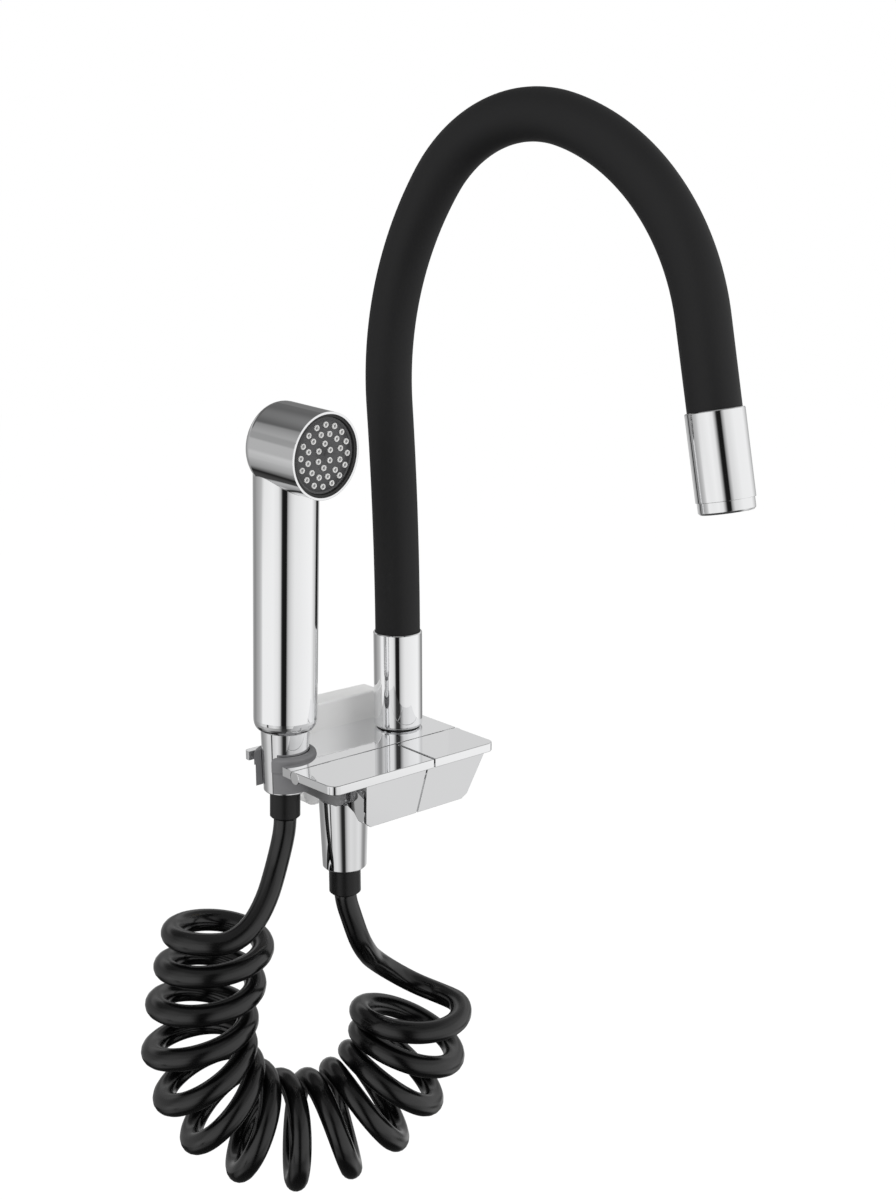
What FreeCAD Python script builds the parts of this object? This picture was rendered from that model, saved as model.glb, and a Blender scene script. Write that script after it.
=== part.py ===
"""Wall-mounted kitchen tap: a flush deck with two lifting levers, a flexible gooseneck spout and a
hand spray on a curly hose that stands in a clip at the deck's left end.

Millimetres. +Z is up, +Y points into the wall, +X runs along the wall to the right of someone who
faces it. The origin lies on the wall face, on the axis of the water inlet.
"""
import FreeCAD, Part
import math
import os

V = FreeCAD.Vector
X_AXIS = V(1, 0, 0)
Z_AXIS = V(0, 0, 1)

# ---------------------------------------------------------------- clearances
running_clearance = 0.05
press_clearance = 0.02
free_clearance = 0.35
seal_gap = 0.03

# ---------------------------------------------------------------- deck
deck_left = -60.0
deck_right = 38.2
deck_front = -81.0
deck_top = 12.0
deck_thickness = 4.3
deck_corner_radius = 4.5
deck_edge_round = 0.4
flap_left_taper = 1.6

# ---------------------------------------------------------------- wall flange and inlet
flange_depth = 12.0
flange_size = 52.4
flange_corner = 7.0
flange_edge_round = 1.2
flange_recess_radius = 10.9
flange_recess_depth = 1.5
inlet_thread_radius = 10.478
inlet_thread_length = 14.0
inlet_neck_radius = 9.6
inlet_spigot_radius = 7.2
inlet_spigot_length = 6.0
inlet_bore_radius = 5.4
filter_radius = 7.4
filter_depth = 1.0
filter_thickness = 2.0
filter_pitch = 2.2
filter_hole_half = 0.7

# ---------------------------------------------------------------- valve body
body_front = -49.0
body_bottom = -10.5
cheek_outer_left = -36.8
cheek_outer_right = 36.4
cheek_thickness = 3.0
cheek_front = -56.8
cheek_corner_radius = 5.0
body_screw_radius = 2.0
body_screw_head_radius = 3.4
body_screw_length = 9.0
body_screw_places = ((-28.5, -17.5), (29.5, -16.5), (0.0, -43.5), (29.5, -44.0))

# ---------------------------------------------------------------- levers
hinge_y = -53.5
hinge_z = 9.2
hinge_pin_radius = 1.0
knuckle_radius = 3.05
knuckle_gap = 0.35
lug_radius = 1.9
lug_web_half = 1.6
lug_slot_gap = 0.4
middle_lug_half = 2.0
split_gap = 0.9
skirt_thickness = 2.0
skirt_top_y = -75.0
skirt_top_z = 4.0
skirt_bottom_y = -67.7
skirt_bottom_z = -18.4
skirt_half_top = 35.5
skirt_half_bottom = 30.4
skirt_corner = 2.4
rib_outer_x = -32.4
rib_thickness = 2.6
# Outline of a lever's rib behind the skirt, as depth and height, from the flap's underside down.
rib_back = ((-55.2, -7.6), (-56.4, -10.2), (-61.2, -12.0), (-64.4, -15.1))
rib_foot_z = -15.5
rib_window_z = -4.4
rib_window = ((-62.5, -0.8), (-60.4, 2.0))

# ---------------------------------------------------------------- valves
valve_offset_left = -10.0
valve_offset_right = 10.0
valve_axis_z = -5.0
cartridge_radius = 4.8
cartridge_collar_radius = 5.4
cartridge_collar_depth = 2.0
cartridge_depth = 22.0
seal_place = 7.0
seal_length = 1.4
seal_cord = 0.9
chamber_place = 10.0
chamber_radius = 3.3
valve_seat_place = 18.0
washer_thickness = 1.4
plunger_radius = 2.4
plunger_head_radius = 3.6
plunger_head_half_width = 2.5
drive_slot_half = 1.7
drive_pin_radius = 1.4
drive_arm_thickness = 2.0
drive_arm_gap = 0.5
drive_arm_radius = 2.8
gallery_radius = 2.6
gallery_y = -23.5
gallery_z = -3.0
port_radius = 1.8
port_place = 14.0

# ---------------------------------------------------------------- spout
spout_x = 19.2
spout_y = -30.0
spout_turn_degrees = 7.7
ferrule_radius = 12.0
ferrule_height = 48.6
ferrule_bore_radius = 11.25
ferrule_edge_round = 1.6
ferrule_stand_off = 0.35
tail_radius = 8.0
tail_bore_radius = 4.6
tail_depth = 10.5
tail_groove_depth = 1.2
tail_groove_height = 2.4
seat_radius = 10.4
keeper_radius = 2.0
keeper_tip_radius = 0.9
keeper_length = 3.6
sleeve_radius = 11.0
sleeve_bore_radius = 8.2
neck_core_radius = 8.0
neck_core_bore = 6.4
neck_tube_radius = 6.2
neck_tube_bore = 4.6
sleeve_insertion = 12.0
spout_reach = 174.3
neck_first_run = 1.0
# The gooseneck's arcs from its foot on: radius as a share of the reach, and degrees turned.
neck_arcs = ((8.348, -4.3), (0.8457, 42.3), (0.3718, 70.3), (0.5944, 60.7))
neck_last_share = 0.2054
outlet_length = 40.6
outlet_step_length = 5.0
outlet_step_depth = 0.5
outlet_bore_radius = 11.25
aerator_radius = 10.7
aerator_depth = 11.0
aerator_web = 0.9
aerator_pitch = 2.6

# ---------------------------------------------------------------- hand spray
holder_x = -48.8
holder_y = -30.0
handset_top_x = -45.3
handset_top_y = -32.2
handset_top_z = 157.2
handle_radius = 14.95
handle_shoulder_low = 12.8
handle_shoulder_round = 6.0
stem_top_radius = 11.6
stem_bottom_radius = 10.1
stem_bottom = -17.4
handset_crimp_radius = 7.2
handset_crimp_length = 13.4
head_radius = 19.7
head_front = 26.2
head_back = 7.7
head_back_round = 5.0
handset_wall = 2.4
handset_floor = 18.0
head_chamber_depth = 14.0
waterway_radius = 5.6
waterway_bore_radius = 4.2
head_turn_degrees = 7.2
head_tilt_degrees = 5.6
bezel_width = 1.1
bezel_depth = 3.2
face_recess = 1.6
nozzle_radius = 1.3
nozzle_bore_radius = 0.55
nozzle_height = 0.9
nozzle_ring_radii = (5.3, 9.8, 14.1)
nozzle_ring_counts = (6, 12, 16)

# ---------------------------------------------------------------- holder clip
clip_outer_radius = 14.0
clip_top_radius = 14.6
clip_above_deck = 2.4
clip_bottom = -14.8
clip_slot_half = 7.2
clip_screw_radius = 1.4
clip_screw_head_radius = 2.2
clip_screw_inset = 7.7
clip_screw_drop = 3.5
clip_screw_seat = 10.9
clip_screw_grip = 6.0

# ---------------------------------------------------------------- hose outlet
outlet_x = -22.8
outlet_y = -40.0
cone_top_z = -12.2
cone_bottom_z = -48.0
cone_top_radius = 11.9
cone_bottom_radius = 10.6
cone_spigot_radius = 7.0
cone_spigot_height = 5.5
cone_bore_radius = 4.5
outlet_crimp_radius = 7.7
outlet_crimp_length = 13.5

# ---------------------------------------------------------------- curly hose
hose_radius = 5.4
coil_turns = 12.25
coil_top_u = -31.6
coil_top_z = -72.0
coil_heading_degrees = -104.5
# The coil hangs round a guide line: equal steps of length, with the degrees it turns over each.
coil_guide_step = 45.0
coil_guide_turns = (0.4, 42.3, 47.9, 50.9, 47.5, 48.0)
# Values that change along the guide: at its top, then the linear and square parts over this length.
coil_spread_length = 230.0
coil_front_offset = (-4.9, 9.2, -4.5)
coil_radius = (21.9, 1.9, 1.8)
coil_front_lean = (-0.6, 2.0, 0.5)
coil_side_lean = (4.2, 0.5, -11.1)
# Advance along the guide per turn, at the turns in the first list.
coil_pitch_places = (0.0, 1.0, 2.5, 4.5, 6.5, 8.5, 10.5, 12.25)
coil_pitches = (11.6, 18.9, 19.6, 18.7, 22.7, 19.9, 18.5, 17.7)
# Hand-chosen points of the two leads: along the coil's plane, towards the front, and up.
handset_lead = ((-1.3, -0.0, -30.4), (-5.9, 2.6, -44.4), (-12.1, 9.7, -55.9), (-21.0, 15.9, -65.9))
outlet_lead = ((82.9, -13.7, -133.3), (71.8, -23.4, -130.4), (59.2, -26.1, -121.9), (48.3, -19.8, -110.7),
               (41.6, -8.4, -100.3), (35.7, -1.1, -88.7), (31.5, 0.3, -75.1))

# ---------------------------------------------------------------- derived places
deck_bottom = deck_top - deck_thickness
deck_rear = -flange_depth
skirt_slope = (skirt_bottom_y - skirt_top_y) / (skirt_bottom_z - skirt_top_z)
side_slope = (skirt_half_bottom - skirt_half_top) / (skirt_bottom_z - skirt_top_z)
handset_base = V(holder_x, holder_y, deck_top)
handset_axis = (V(handset_top_x, handset_top_y, handset_top_z) - handset_base).normalize()
handset_rise = (V(handset_top_x, handset_top_y, handset_top_z) - handset_base).Length
stem_slope = (stem_top_radius - stem_bottom_radius) / (handle_shoulder_low - stem_bottom)
handset_hose_end = handset_base + handset_axis * (stem_bottom - handset_crimp_length)
outlet_hose_end = V(outlet_x, outlet_y, cone_bottom_z - outlet_crimp_length)
coil_along = (outlet_hose_end - handset_hose_end)
coil_along.z = 0
coil_along.normalize()
coil_front = coil_along.cross(Z_AXIS)
port_y = body_front + port_place
spout_out = V(math.sin(math.radians(spout_turn_degrees)), -math.cos(math.radians(spout_turn_degrees)), 0)
spout_foot = V(spout_x, spout_y, deck_top)


# ---------------------------------------------------------------- helpers
def export(shape, name):
    shape.exportStep("parts/" + name + ".step")
    solids = len(shape.Solids)
    print("%-26s solids %2d  volume %9.1f  valid %s" % (name, solids, shape.Volume, shape.isValid()))


def box(x0, x1, y0, y1, z0, z1):
    return Part.makeBox(x1 - x0, y1 - y0, z1 - z0, V(x0, y0, z0))


def cylinder(radius, start, end):
    direction = end - start
    return Part.makeCylinder(radius, direction.Length, start, direction)


def turned(profile, start=V(0, 0, 0)):
    """Revolve a closed outline of (radius, height) points about +Z through start."""
    points = [V(r, 0, z) for r, z in profile]
    face = Part.Face(Part.makePolygon(points + [points[0]]))
    solid = face.revolve(V(0, 0, 0), Z_AXIS, 360)
    solid.translate(start)
    return solid


def extruded_yz(outline, x0, x1):
    """Extrude a closed (y, z) outline from x0 to x1."""
    points = [V(x0, y, z) for y, z in outline]
    return Part.Face(Part.makePolygon(points + [points[0]])).extrude(V(x1 - x0, 0, 0))


def rounded_vertical(solid, radius, chosen):
    """Round the vertical edges of a solid for which chosen(x, y) is true."""
    edges = []
    for edge in solid.Edges:
        a = edge.Vertexes[0].Point
        b = edge.Vertexes[-1].Point
        if abs(a.x - b.x) < 1e-6 and abs(a.y - b.y) < 1e-6 and chosen(a.x, a.y):
            edges.append(edge)
    return solid.makeFillet(radius, edges)


def group(solids):
    return Part.makeCompound(solids)


def along(start, direction, solid):
    """Move a solid built on +Z at the origin so that +Z follows direction from start."""
    moved = solid.copy()
    moved.Placement = FreeCAD.Placement(start, FreeCAD.Rotation(Z_AXIS, direction))
    return moved


# ---------------------------------------------------------------- wall side
def wall_flange():
    half = flange_size / 2
    block = box(-half, half, -flange_depth, 0, -half, half)
    corners = []
    for edge in block.Edges:
        a = edge.Vertexes[0].Point
        b = edge.Vertexes[-1].Point
        if abs(a.y - b.y) > 1:
            corners.append(edge)
    block = block.makeFillet(flange_corner, corners)
    front = [e for e in block.Edges if e.BoundBox.YMax < -flange_depth + 0.01]
    block = block.makeFillet(flange_edge_round, front)
    bore = cylinder(inlet_neck_radius + press_clearance, V(0, 1, 0), V(0, -flange_depth - 1, 0))
    recess = cylinder(flange_recess_radius, V(0, 1, 0), V(0, -flange_recess_depth, 0))
    return block.cut(bore).cut(recess)


def inlet_shank():
    """Inlet tube: thread at its outer size, plain neck in the flange, spigot that enters the body."""
    thread = cylinder(inlet_thread_radius, V(0, inlet_thread_length, 0), V(0, 0, 0))
    neck = cylinder(inlet_neck_radius, V(0, 1, 0), V(0, -flange_depth, 0))
    spigot_end = -flange_depth - inlet_spigot_length
    spigot = cylinder(inlet_spigot_radius, V(0, -flange_depth + 1, 0), V(0, spigot_end, 0))
    shank = thread.fuse(neck).fuse(spigot)
    mouth = cylinder(filter_radius, V(0, inlet_thread_length + 1, 0),
                     V(0, inlet_thread_length - filter_depth - filter_thickness, 0))
    bore = cylinder(inlet_bore_radius, V(0, inlet_thread_length + 1, 0), V(0, spigot_end - 1, 0))
    return shank.cut(mouth).cut(bore)


def inlet_filter():
    """Perforated strainer disc that sits in the inlet's mouth."""
    front = inlet_thread_length - filter_depth
    disc = cylinder(filter_radius - seal_gap, V(0, front, 0), V(0, front - filter_thickness, 0))
    for column in range(-2, 3):
        for row in range(-2, 3):
            place = V(column * filter_pitch, 0, row * filter_pitch)
            if place.Length < filter_radius - 2:
                half = filter_hole_half
                hole = box(place.x - half, place.x + half, 0, front + 1, place.z - half, place.z + half)
                disc = disc.cut(hole)
    return disc


# ---------------------------------------------------------------- body
def lug(x0, x1):
    """Upright ear that carries the hinge pin."""
    web = box(x0, x1, hinge_y - lug_web_half, body_front, body_bottom + 4, hinge_z)
    nose = cylinder(lug_radius, V(x0, hinge_y, hinge_z), V(x1, hinge_y, hinge_z))
    room = box(x0 - 1, x1 + 1, hinge_y + lug_web_half, body_front + 0.01, deck_bottom - 3.2, hinge_z)
    return web.cut(room).fuse(nose)


def cheek(x0, x1):
    """Side plate of the body, rounded at its lower front corner, with a hinge ear."""
    plate = box(x0, x1, cheek_front, deck_rear, body_bottom, deck_bottom - 3.2)
    low_front = []
    for edge in plate.Edges:
        bounds = edge.BoundBox
        if bounds.YMax < cheek_front + 0.01 and bounds.ZMax < body_bottom + 0.01:
            low_front.append(edge)
    plate = plate.makeFillet(cheek_corner_radius, low_front)
    behind = box(x0, x1, body_front, deck_rear, deck_bottom - 3.3, deck_bottom)
    return plate.fuse(behind).fuse(lug(x0, x1))


def body_casting():
    block = box(cheek_outer_left + 1, cheek_outer_right - 1, body_front, deck_rear, body_bottom, deck_bottom)
    left = cheek(cheek_outer_left, cheek_outer_left + cheek_thickness)
    right = cheek(cheek_outer_right - cheek_thickness, cheek_outer_right)
    solid = block.fuse(left).fuse(right).fuse(lug(-middle_lug_half, middle_lug_half))
    cuts = [spout_seat_bore(), pin_bore(press_clearance)]
    cuts.append(cylinder(inlet_spigot_radius + press_clearance, V(0, 0, 0),
                         V(0, -flange_depth - inlet_spigot_length - 0.2, 0)))
    cuts.append(cylinder(gallery_radius, V(0, -flange_depth, 0), V(0, gallery_y, 0)))
    cuts.append(cylinder(gallery_radius, V(valve_offset_left, gallery_y, gallery_z),
                         V(valve_offset_right, gallery_y, gallery_z)))
    under_spout = V(spout_x, spout_y, valve_axis_z)
    over_outlet = V(outlet_x, outlet_y, valve_axis_z)
    cuts.append(cylinder(port_radius, V(valve_offset_right, port_y, valve_axis_z), under_spout))
    cuts.append(cylinder(port_radius, under_spout, V(spout_x, spout_y, deck_top - tail_depth)))
    cuts.append(cylinder(port_radius, V(valve_offset_left, port_y, valve_axis_z), over_outlet))
    cuts.append(cylinder(port_radius, over_outlet, V(outlet_x, outlet_y, body_bottom)))
    for x in (valve_offset_left, valve_offset_right):
        cuts.append(cartridge_room(x))
    cuts.append(cylinder(cone_spigot_radius + press_clearance, V(outlet_x, outlet_y, body_bottom - 1),
                         V(outlet_x, outlet_y, body_bottom + cone_spigot_height + 0.2)))
    for x, y in body_screw_places:
        cuts.append(cylinder(body_screw_radius + press_clearance, V(x, y, deck_bottom + 1),
                             V(x, y, deck_bottom - body_screw_length)))
        cuts.append(cylinder(body_screw_head_radius + 0.3, V(x, y, body_bottom - 1),
                             V(x, y, deck_bottom - body_screw_length + 0.2)))
    cuts.append(cylinder(keeper_radius + press_clearance, V(spout_x + 6.3, spout_y, spout_screw_z()),
                         V(cheek_outer_right + 1, spout_y, spout_screw_z())))
    for y in clip_screw_rows():
        cuts.append(cylinder(clip_screw_radius + press_clearance, V(cheek_outer_left - 1, y, clip_screw_z()),
                             V(cheek_outer_left + clip_screw_grip + 0.3, y, clip_screw_z())))
    for tool in cuts:
        solid = solid.cut(tool)
    return solid


def spout_screw_z():
    return deck_top - tail_depth + 2.6


def spout_seat_bore():
    return cylinder(seat_radius + press_clearance, V(spout_x, spout_y, deck_bottom + 1),
                    V(spout_x, spout_y, deck_top - tail_depth - 0.6))


def pin_bore(clearance):
    return cylinder(hinge_pin_radius + clearance, V(cheek_outer_left + 0.8, hinge_y, hinge_z),
                    V(cheek_outer_right + 0.1, hinge_y, hinge_z))


def cartridge_room(x):
    front = V(x, body_front - 1, valve_axis_z)
    barrel = cylinder(cartridge_radius + press_clearance, front, on_valve(x, cartridge_depth))
    collar = cylinder(cartridge_collar_radius + press_clearance, front,
                      V(x, body_front + cartridge_collar_depth, valve_axis_z))
    return barrel.fuse(collar)


def rear_deck():
    """Fixed deck behind the levers, with the clip's notch, the spout hole and a hollow hinge edge."""
    deck = box(deck_left, deck_right, hinge_y, deck_rear, deck_bottom, deck_top)
    deck = rounded_vertical(deck, 2.0, lambda x, y: y > deck_rear - 1 and x < deck_left + 1)
    hollow = cylinder(knuckle_radius + knuckle_gap, V(deck_left - 1, hinge_y, hinge_z),
                      V(deck_right + 1, hinge_y, hinge_z))
    notch = holder_outer(clip_top_radius + press_clearance, -deck_thickness - 3, 3)
    half = clip_top_radius - 0.6
    notch = notch.fuse(box(deck_left - 1, holder_x, holder_y - half, holder_y + half,
                           deck_bottom - 1, deck_top + 1))
    deck = deck.cut(hollow).cut(notch)
    deck = deck.cut(cylinder(tail_radius + 0.4, V(spout_x, spout_y, 0), V(spout_x, spout_y, deck_top + 1)))
    for x, y in body_screw_places:
        deck = deck.cut(cylinder(body_screw_radius - 0.3, V(x, y, deck_bottom - 1), V(x, y, deck_top - 1.4)))
    return deck


def deck_screws():
    """Cap screws driven from below the body up into the deck."""
    screws = []
    for x, y in body_screw_places:
        head_z = deck_bottom - body_screw_length
        head = cylinder(body_screw_head_radius, V(x, y, head_z), V(x, y, head_z - 3.0))
        head = head.cut(cylinder(1.5, V(x, y, head_z - 1.5), V(x, y, head_z - 4)))
        shank = cylinder(body_screw_radius - 0.32, V(x, y, head_z - 0.5), V(x, y, deck_top - 1.6))
        screws.append(head.fuse(shank))
    return group(screws)


def hinge_pin():
    left_end = V(cheek_outer_left + 0.9, hinge_y, hinge_z)
    right_end = V(cheek_outer_right, hinge_y, hinge_z)
    return cylinder(hinge_pin_radius, left_end, right_end)


def deck_gasket():
    """Thin sealing ring between the spout seat and the deck."""
    top = deck_bottom
    ring = cylinder(seat_radius - 0.3, V(spout_x, spout_y, top - 0.8), V(spout_x, spout_y, top))
    return ring.cut(cylinder(tail_radius + 0.4, V(spout_x, spout_y, top - 2), V(spout_x, spout_y, top + 1)))


def spout_seat():
    """Bronze bush pressed into the body: the spout's tail turns in it."""
    low = deck_top - tail_depth - 0.5
    high = deck_bottom - 0.85
    bush = cylinder(seat_radius, V(spout_x, spout_y, low), V(spout_x, spout_y, high))
    bush = bush.cut(cylinder(tail_radius + running_clearance, V(spout_x, spout_y, low - 1),
                             V(spout_x, spout_y, high + 1)))
    tip_hole = cylinder(keeper_tip_radius + press_clearance, V(spout_x + 5, spout_y, spout_screw_z()),
                        V(spout_x + seat_radius + 1, spout_y, spout_screw_z()))
    return bush.cut(tip_hole)


def spout_keeper_screw():
    """Grub screw whose tip runs in the tail's groove and keeps the spout down."""
    start = V(spout_x + tail_radius - tail_groove_depth + 0.35, spout_y, spout_screw_z())
    seat_edge = spout_x + seat_radius
    neck = cylinder(keeper_tip_radius, start, V(seat_edge + 0.2, spout_y, spout_screw_z()))
    thread = cylinder(keeper_radius, V(seat_edge + 0.1, spout_y, spout_screw_z()),
                      V(seat_edge + keeper_length, spout_y, spout_screw_z()))
    return neck.fuse(thread)


# ---------------------------------------------------------------- valves
def on_valve(x, depth):
    """Point on one valve's axis, at a depth behind the body's front face."""
    return V(x, body_front + depth, valve_axis_z)


def cartridge(x):
    """Fixed brass sleeve of one valve: flanged nose, chamber, seat and side port."""
    nose = cylinder(cartridge_collar_radius, on_valve(x, -0.6), on_valve(x, cartridge_collar_depth - 0.1))
    barrel = cylinder(cartridge_radius, on_valve(x, 1.0), on_valve(x, cartridge_depth - 0.4))
    sleeve = nose.fuse(barrel)
    bore = cylinder(plunger_radius + running_clearance, on_valve(x, -2), on_valve(x, chamber_place + 1))
    chamber = cylinder(chamber_radius, on_valve(x, chamber_place), on_valve(x, valve_seat_place))
    inlet = cylinder(port_radius, on_valve(x, valve_seat_place - 1), on_valve(x, cartridge_depth + 1))
    side = -1 if x < 0 else 1
    outlet = cylinder(port_radius, on_valve(x, port_place), on_valve(x, port_place) + V(side * 9, 0, 0))
    for hole in (bore, chamber, inlet, outlet):
        sleeve = sleeve.cut(hole)
    return sleeve


def plunger(x):
    """Sliding valve stem with a slotted head that the lever's drive pin works."""
    head_back = body_front - 1.0
    head_front = hinge_y - drive_slot_half - 1.6
    washer_back = valve_seat_place - running_clearance - washer_thickness
    stem = cylinder(plunger_radius, on_valve(x, washer_back), V(x, head_back - 0.5, valve_axis_z))
    head = cylinder(plunger_head_radius, V(x, head_back, valve_axis_z), V(x, head_front, valve_axis_z))
    half = plunger_head_half_width
    above = valve_axis_z + plunger_head_radius + 1
    below = valve_axis_z - plunger_head_radius - 1
    head = head.common(box(x - half, x + half, head_front - 1, head_back + 1, below, above))
    slot = box(x - half - 1, x + half + 1, hinge_y - drive_slot_half, hinge_y + drive_slot_half,
               valve_axis_z - drive_pin_radius - free_clearance, above)
    seal_end = seal_place + seal_length
    groove = cylinder(plunger_radius + 1, on_valve(x, seal_place - 0.1), on_valve(x, seal_end + 0.1))
    root = cylinder(plunger_radius - seal_cord, on_valve(x, seal_place - 1), on_valve(x, seal_end + 1))
    return stem.fuse(head.cut(slot)).cut(groove.cut(root))


def plunger_seal(x):
    ring = cylinder(plunger_radius, on_valve(x, seal_place), on_valve(x, seal_place + seal_length))
    inside = cylinder(plunger_radius - seal_cord + seal_gap, on_valve(x, seal_place - 1),
                      on_valve(x, seal_place + seal_length + 1))
    return ring.cut(inside)


def seat_washer(x):
    """Rubber disc at the stem's inner end; it closes the seat."""
    back = valve_seat_place - running_clearance
    return cylinder(chamber_radius - 0.5, on_valve(x, back - washer_thickness), on_valve(x, back))


# ---------------------------------------------------------------- levers
def lever_flap(x0, x1, corner_x):
    """Flat part of one lever with the round knuckle along its rear edge."""
    left = x0
    front_x = corner_x
    if corner_x == x0:
        left = x0 + flap_left_taper
        front_x = left
    outline = [(x0, hinge_y), (x1, hinge_y), (x1, deck_front), (left, deck_front)]
    points = [V(x, y, deck_bottom) for x, y in outline]
    flap = Part.Face(Part.makePolygon(points + [points[0]])).extrude(V(0, 0, deck_thickness))

    def is_corner(x, y):
        return abs(x - front_x) < 0.1 and y < deck_front + 0.1
    flap = rounded_vertical(flap, deck_corner_radius, is_corner)
    rims = []
    for edge in flap.Edges:
        flat = edge.BoundBox.ZMax - edge.BoundBox.ZMin < 0.01
        if flat and edge.BoundBox.YMin < hinge_y - 0.1:
            rims.append(edge)
    flap = flap.makeFillet(deck_edge_round, rims)
    knuckle = cylinder(knuckle_radius, V(x0, hinge_y, hinge_z), V(x1, hinge_y, hinge_z))
    knuckle = knuckle.common(box(x0, x1, hinge_y - 9, hinge_y + 9, hinge_z - 9, deck_top))
    flap = flap.fuse(knuckle)
    return flap.removeSplitter()


def lever_skirt(side):
    """Sloping apron of one lever; side is -1 for the left one and +1 for the right one."""
    def half_at(z):
        return skirt_half_top + side_slope * (z - skirt_top_z)

    def front_at(z):
        return skirt_top_y + skirt_slope * (z - skirt_top_z)
    inner = split_gap / 2
    top = deck_bottom
    low = skirt_bottom_z
    outline_top = [V(side * inner, front_at(top), top), V(side * half_at(top), front_at(top), top)]
    bevel = low + skirt_corner
    outline_low = [V(side * half_at(bevel), front_at(bevel), bevel),
                   V(side * (half_at(low) - skirt_corner), front_at(low), low),
                   V(side * inner, front_at(low), low)]
    points = outline_top + outline_low
    face = Part.Face(Part.makePolygon(points + [points[0]]))
    return face.extrude(V(0, skirt_thickness, 0))


def lever_rib(x0):
    """Brace between the flap and the foot of the skirt, open at its front top corner."""
    def back_of_skirt(z):
        return skirt_top_y + skirt_slope * (z - skirt_top_z) + skirt_thickness / 2
    top = deck_bottom + 0.2
    outline = [(rib_back[0][0], top)] + list(rib_back)
    outline += [(back_of_skirt(rib_foot_z), rib_foot_z), (back_of_skirt(rib_window_z), rib_window_z)]
    outline += list(rib_window) + [(rib_window[-1][0], top)]
    return extruded_yz(outline, x0, x0 + rib_thickness)


def drive_arms(x):
    """Two arms under the flap that hold the pin working the valve stem."""
    arms = []
    inner = plunger_head_half_width + drive_arm_gap
    for side in (-1, 1):
        x0 = x + side * inner
        x1 = x + side * (inner + drive_arm_thickness)
        low, high = min(x0, x1), max(x0, x1)
        arm = box(low, high, hinge_y - drive_arm_radius, hinge_y + drive_arm_radius,
                  valve_axis_z, deck_bottom)
        foot = cylinder(drive_arm_radius, V(low, hinge_y, valve_axis_z), V(high, hinge_y, valve_axis_z))
        arms.append(arm.fuse(foot))
    return arms


def lever(x0, x1, side, valve_x, lugs):
    corner = deck_left if side < 0 else deck_right
    solid = lever_flap(x0, x1, corner)
    rib_x = rib_outer_x if side < 0 else -rib_outer_x - rib_thickness
    pieces = [lever_skirt(side), lever_rib(rib_x)] + drive_arms(valve_x)
    for piece in pieces:
        solid = solid.fuse(piece)
    pin_room = cylinder(hinge_pin_radius + running_clearance,
                        V(cheek_outer_left + 0.5, hinge_y, hinge_z),
                        V(cheek_outer_right + 0.1, hinge_y, hinge_z))
    solid = solid.cut(pin_room)
    for lug0, lug1 in lugs:
        a, b = lug0 - lug_slot_gap, lug1 + lug_slot_gap
        solid = solid.cut(cylinder(lug_radius + lug_slot_gap, V(a, hinge_y, hinge_z), V(b, hinge_y, hinge_z)))
        solid = solid.cut(box(a, b, hinge_y - lug_radius - lug_slot_gap, hinge_y + 5, hinge_z - 4, hinge_z))
    reach = drive_reach()
    drive_room = cylinder(drive_pin_radius + press_clearance,
                          V(valve_x - reach - 1, hinge_y, valve_axis_z),
                          V(valve_x + reach + 1, hinge_y, valve_axis_z))
    return solid.cut(drive_room)


def spray_lever():
    lugs = [(cheek_outer_left, cheek_outer_left + cheek_thickness), (-middle_lug_half, middle_lug_half)]
    return lever(deck_left, -split_gap / 2, -1, valve_offset_left, lugs)


def spout_lever():
    lugs = [(-middle_lug_half, middle_lug_half), (cheek_outer_right - cheek_thickness, cheek_outer_right)]
    return lever(split_gap / 2, deck_right, 1, valve_offset_right, lugs)


def drive_reach():
    return plunger_head_half_width + drive_arm_gap + drive_arm_thickness


def drive_pin(x):
    reach = drive_reach()
    return cylinder(drive_pin_radius, V(x - reach, hinge_y, valve_axis_z),
                    V(x + reach, hinge_y, valve_axis_z))


# ---------------------------------------------------------------- spout
def neck_pieces(from_start, to_end):
    """Edges of the gooseneck's centre line, lengthened at both ends by the given amounts."""
    heading = 0.0
    place = V(0, ferrule_height, 0)
    edges = []

    def lifted(flat):
        return spout_foot + spout_out * flat.x + Z_AXIS * flat.y

    def straight(length):
        nonlocal place
        end = place + V(math.sin(heading), math.cos(heading), 0) * length
        edges.append(Part.makeLine(lifted(place), lifted(end)))
        place = end
    place = place - V(math.sin(heading), math.cos(heading), 0) * from_start
    straight(neck_first_run + from_start)
    for share_of_reach, degrees in neck_arcs:
        turn = math.radians(degrees)
        bend = math.copysign(share_of_reach * spout_reach, turn)
        centre = place + V(math.cos(heading), -math.sin(heading), 0) * bend
        spots = []
        for share in (0.5, 1.0):
            angle = heading + turn * share
            spots.append(centre + V(-math.cos(angle), math.sin(angle), 0) * bend)
        edges.append(Part.Arc(lifted(place), lifted(spots[0]), lifted(spots[1])).toShape())
        place = spots[1]
        heading += turn
    last_run = neck_last_share * spout_reach
    end_direction = (spout_out * math.sin(heading) + Z_AXIS * math.cos(heading)).normalize()
    end_point = lifted(place) + end_direction * last_run
    straight(last_run + to_end)
    return edges, end_point, end_direction


def swept(edges, radius):
    """Round bar of one radius along a chain of tangent edges."""
    path = Part.Wire(edges)
    start = edges[0].valueAt(edges[0].FirstParameter)
    direction = edges[0].tangentAt(edges[0].FirstParameter)
    ring = Part.Wire(Part.makeCircle(radius, start, direction))
    return path.makePipeShell([ring], True, False)


def neck_layer(outer_radius, bore_radius, inset):
    edges, _, _ = neck_pieces(sleeve_insertion - inset, sleeve_insertion - inset)
    outer = swept(edges, outer_radius)
    longer, _, _ = neck_pieces(sleeve_insertion - inset + 1, sleeve_insertion - inset + 1)
    return outer.cut(swept(longer, bore_radius))


def spout_sleeve():
    return neck_layer(sleeve_radius, sleeve_bore_radius, 0.0)


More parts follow.
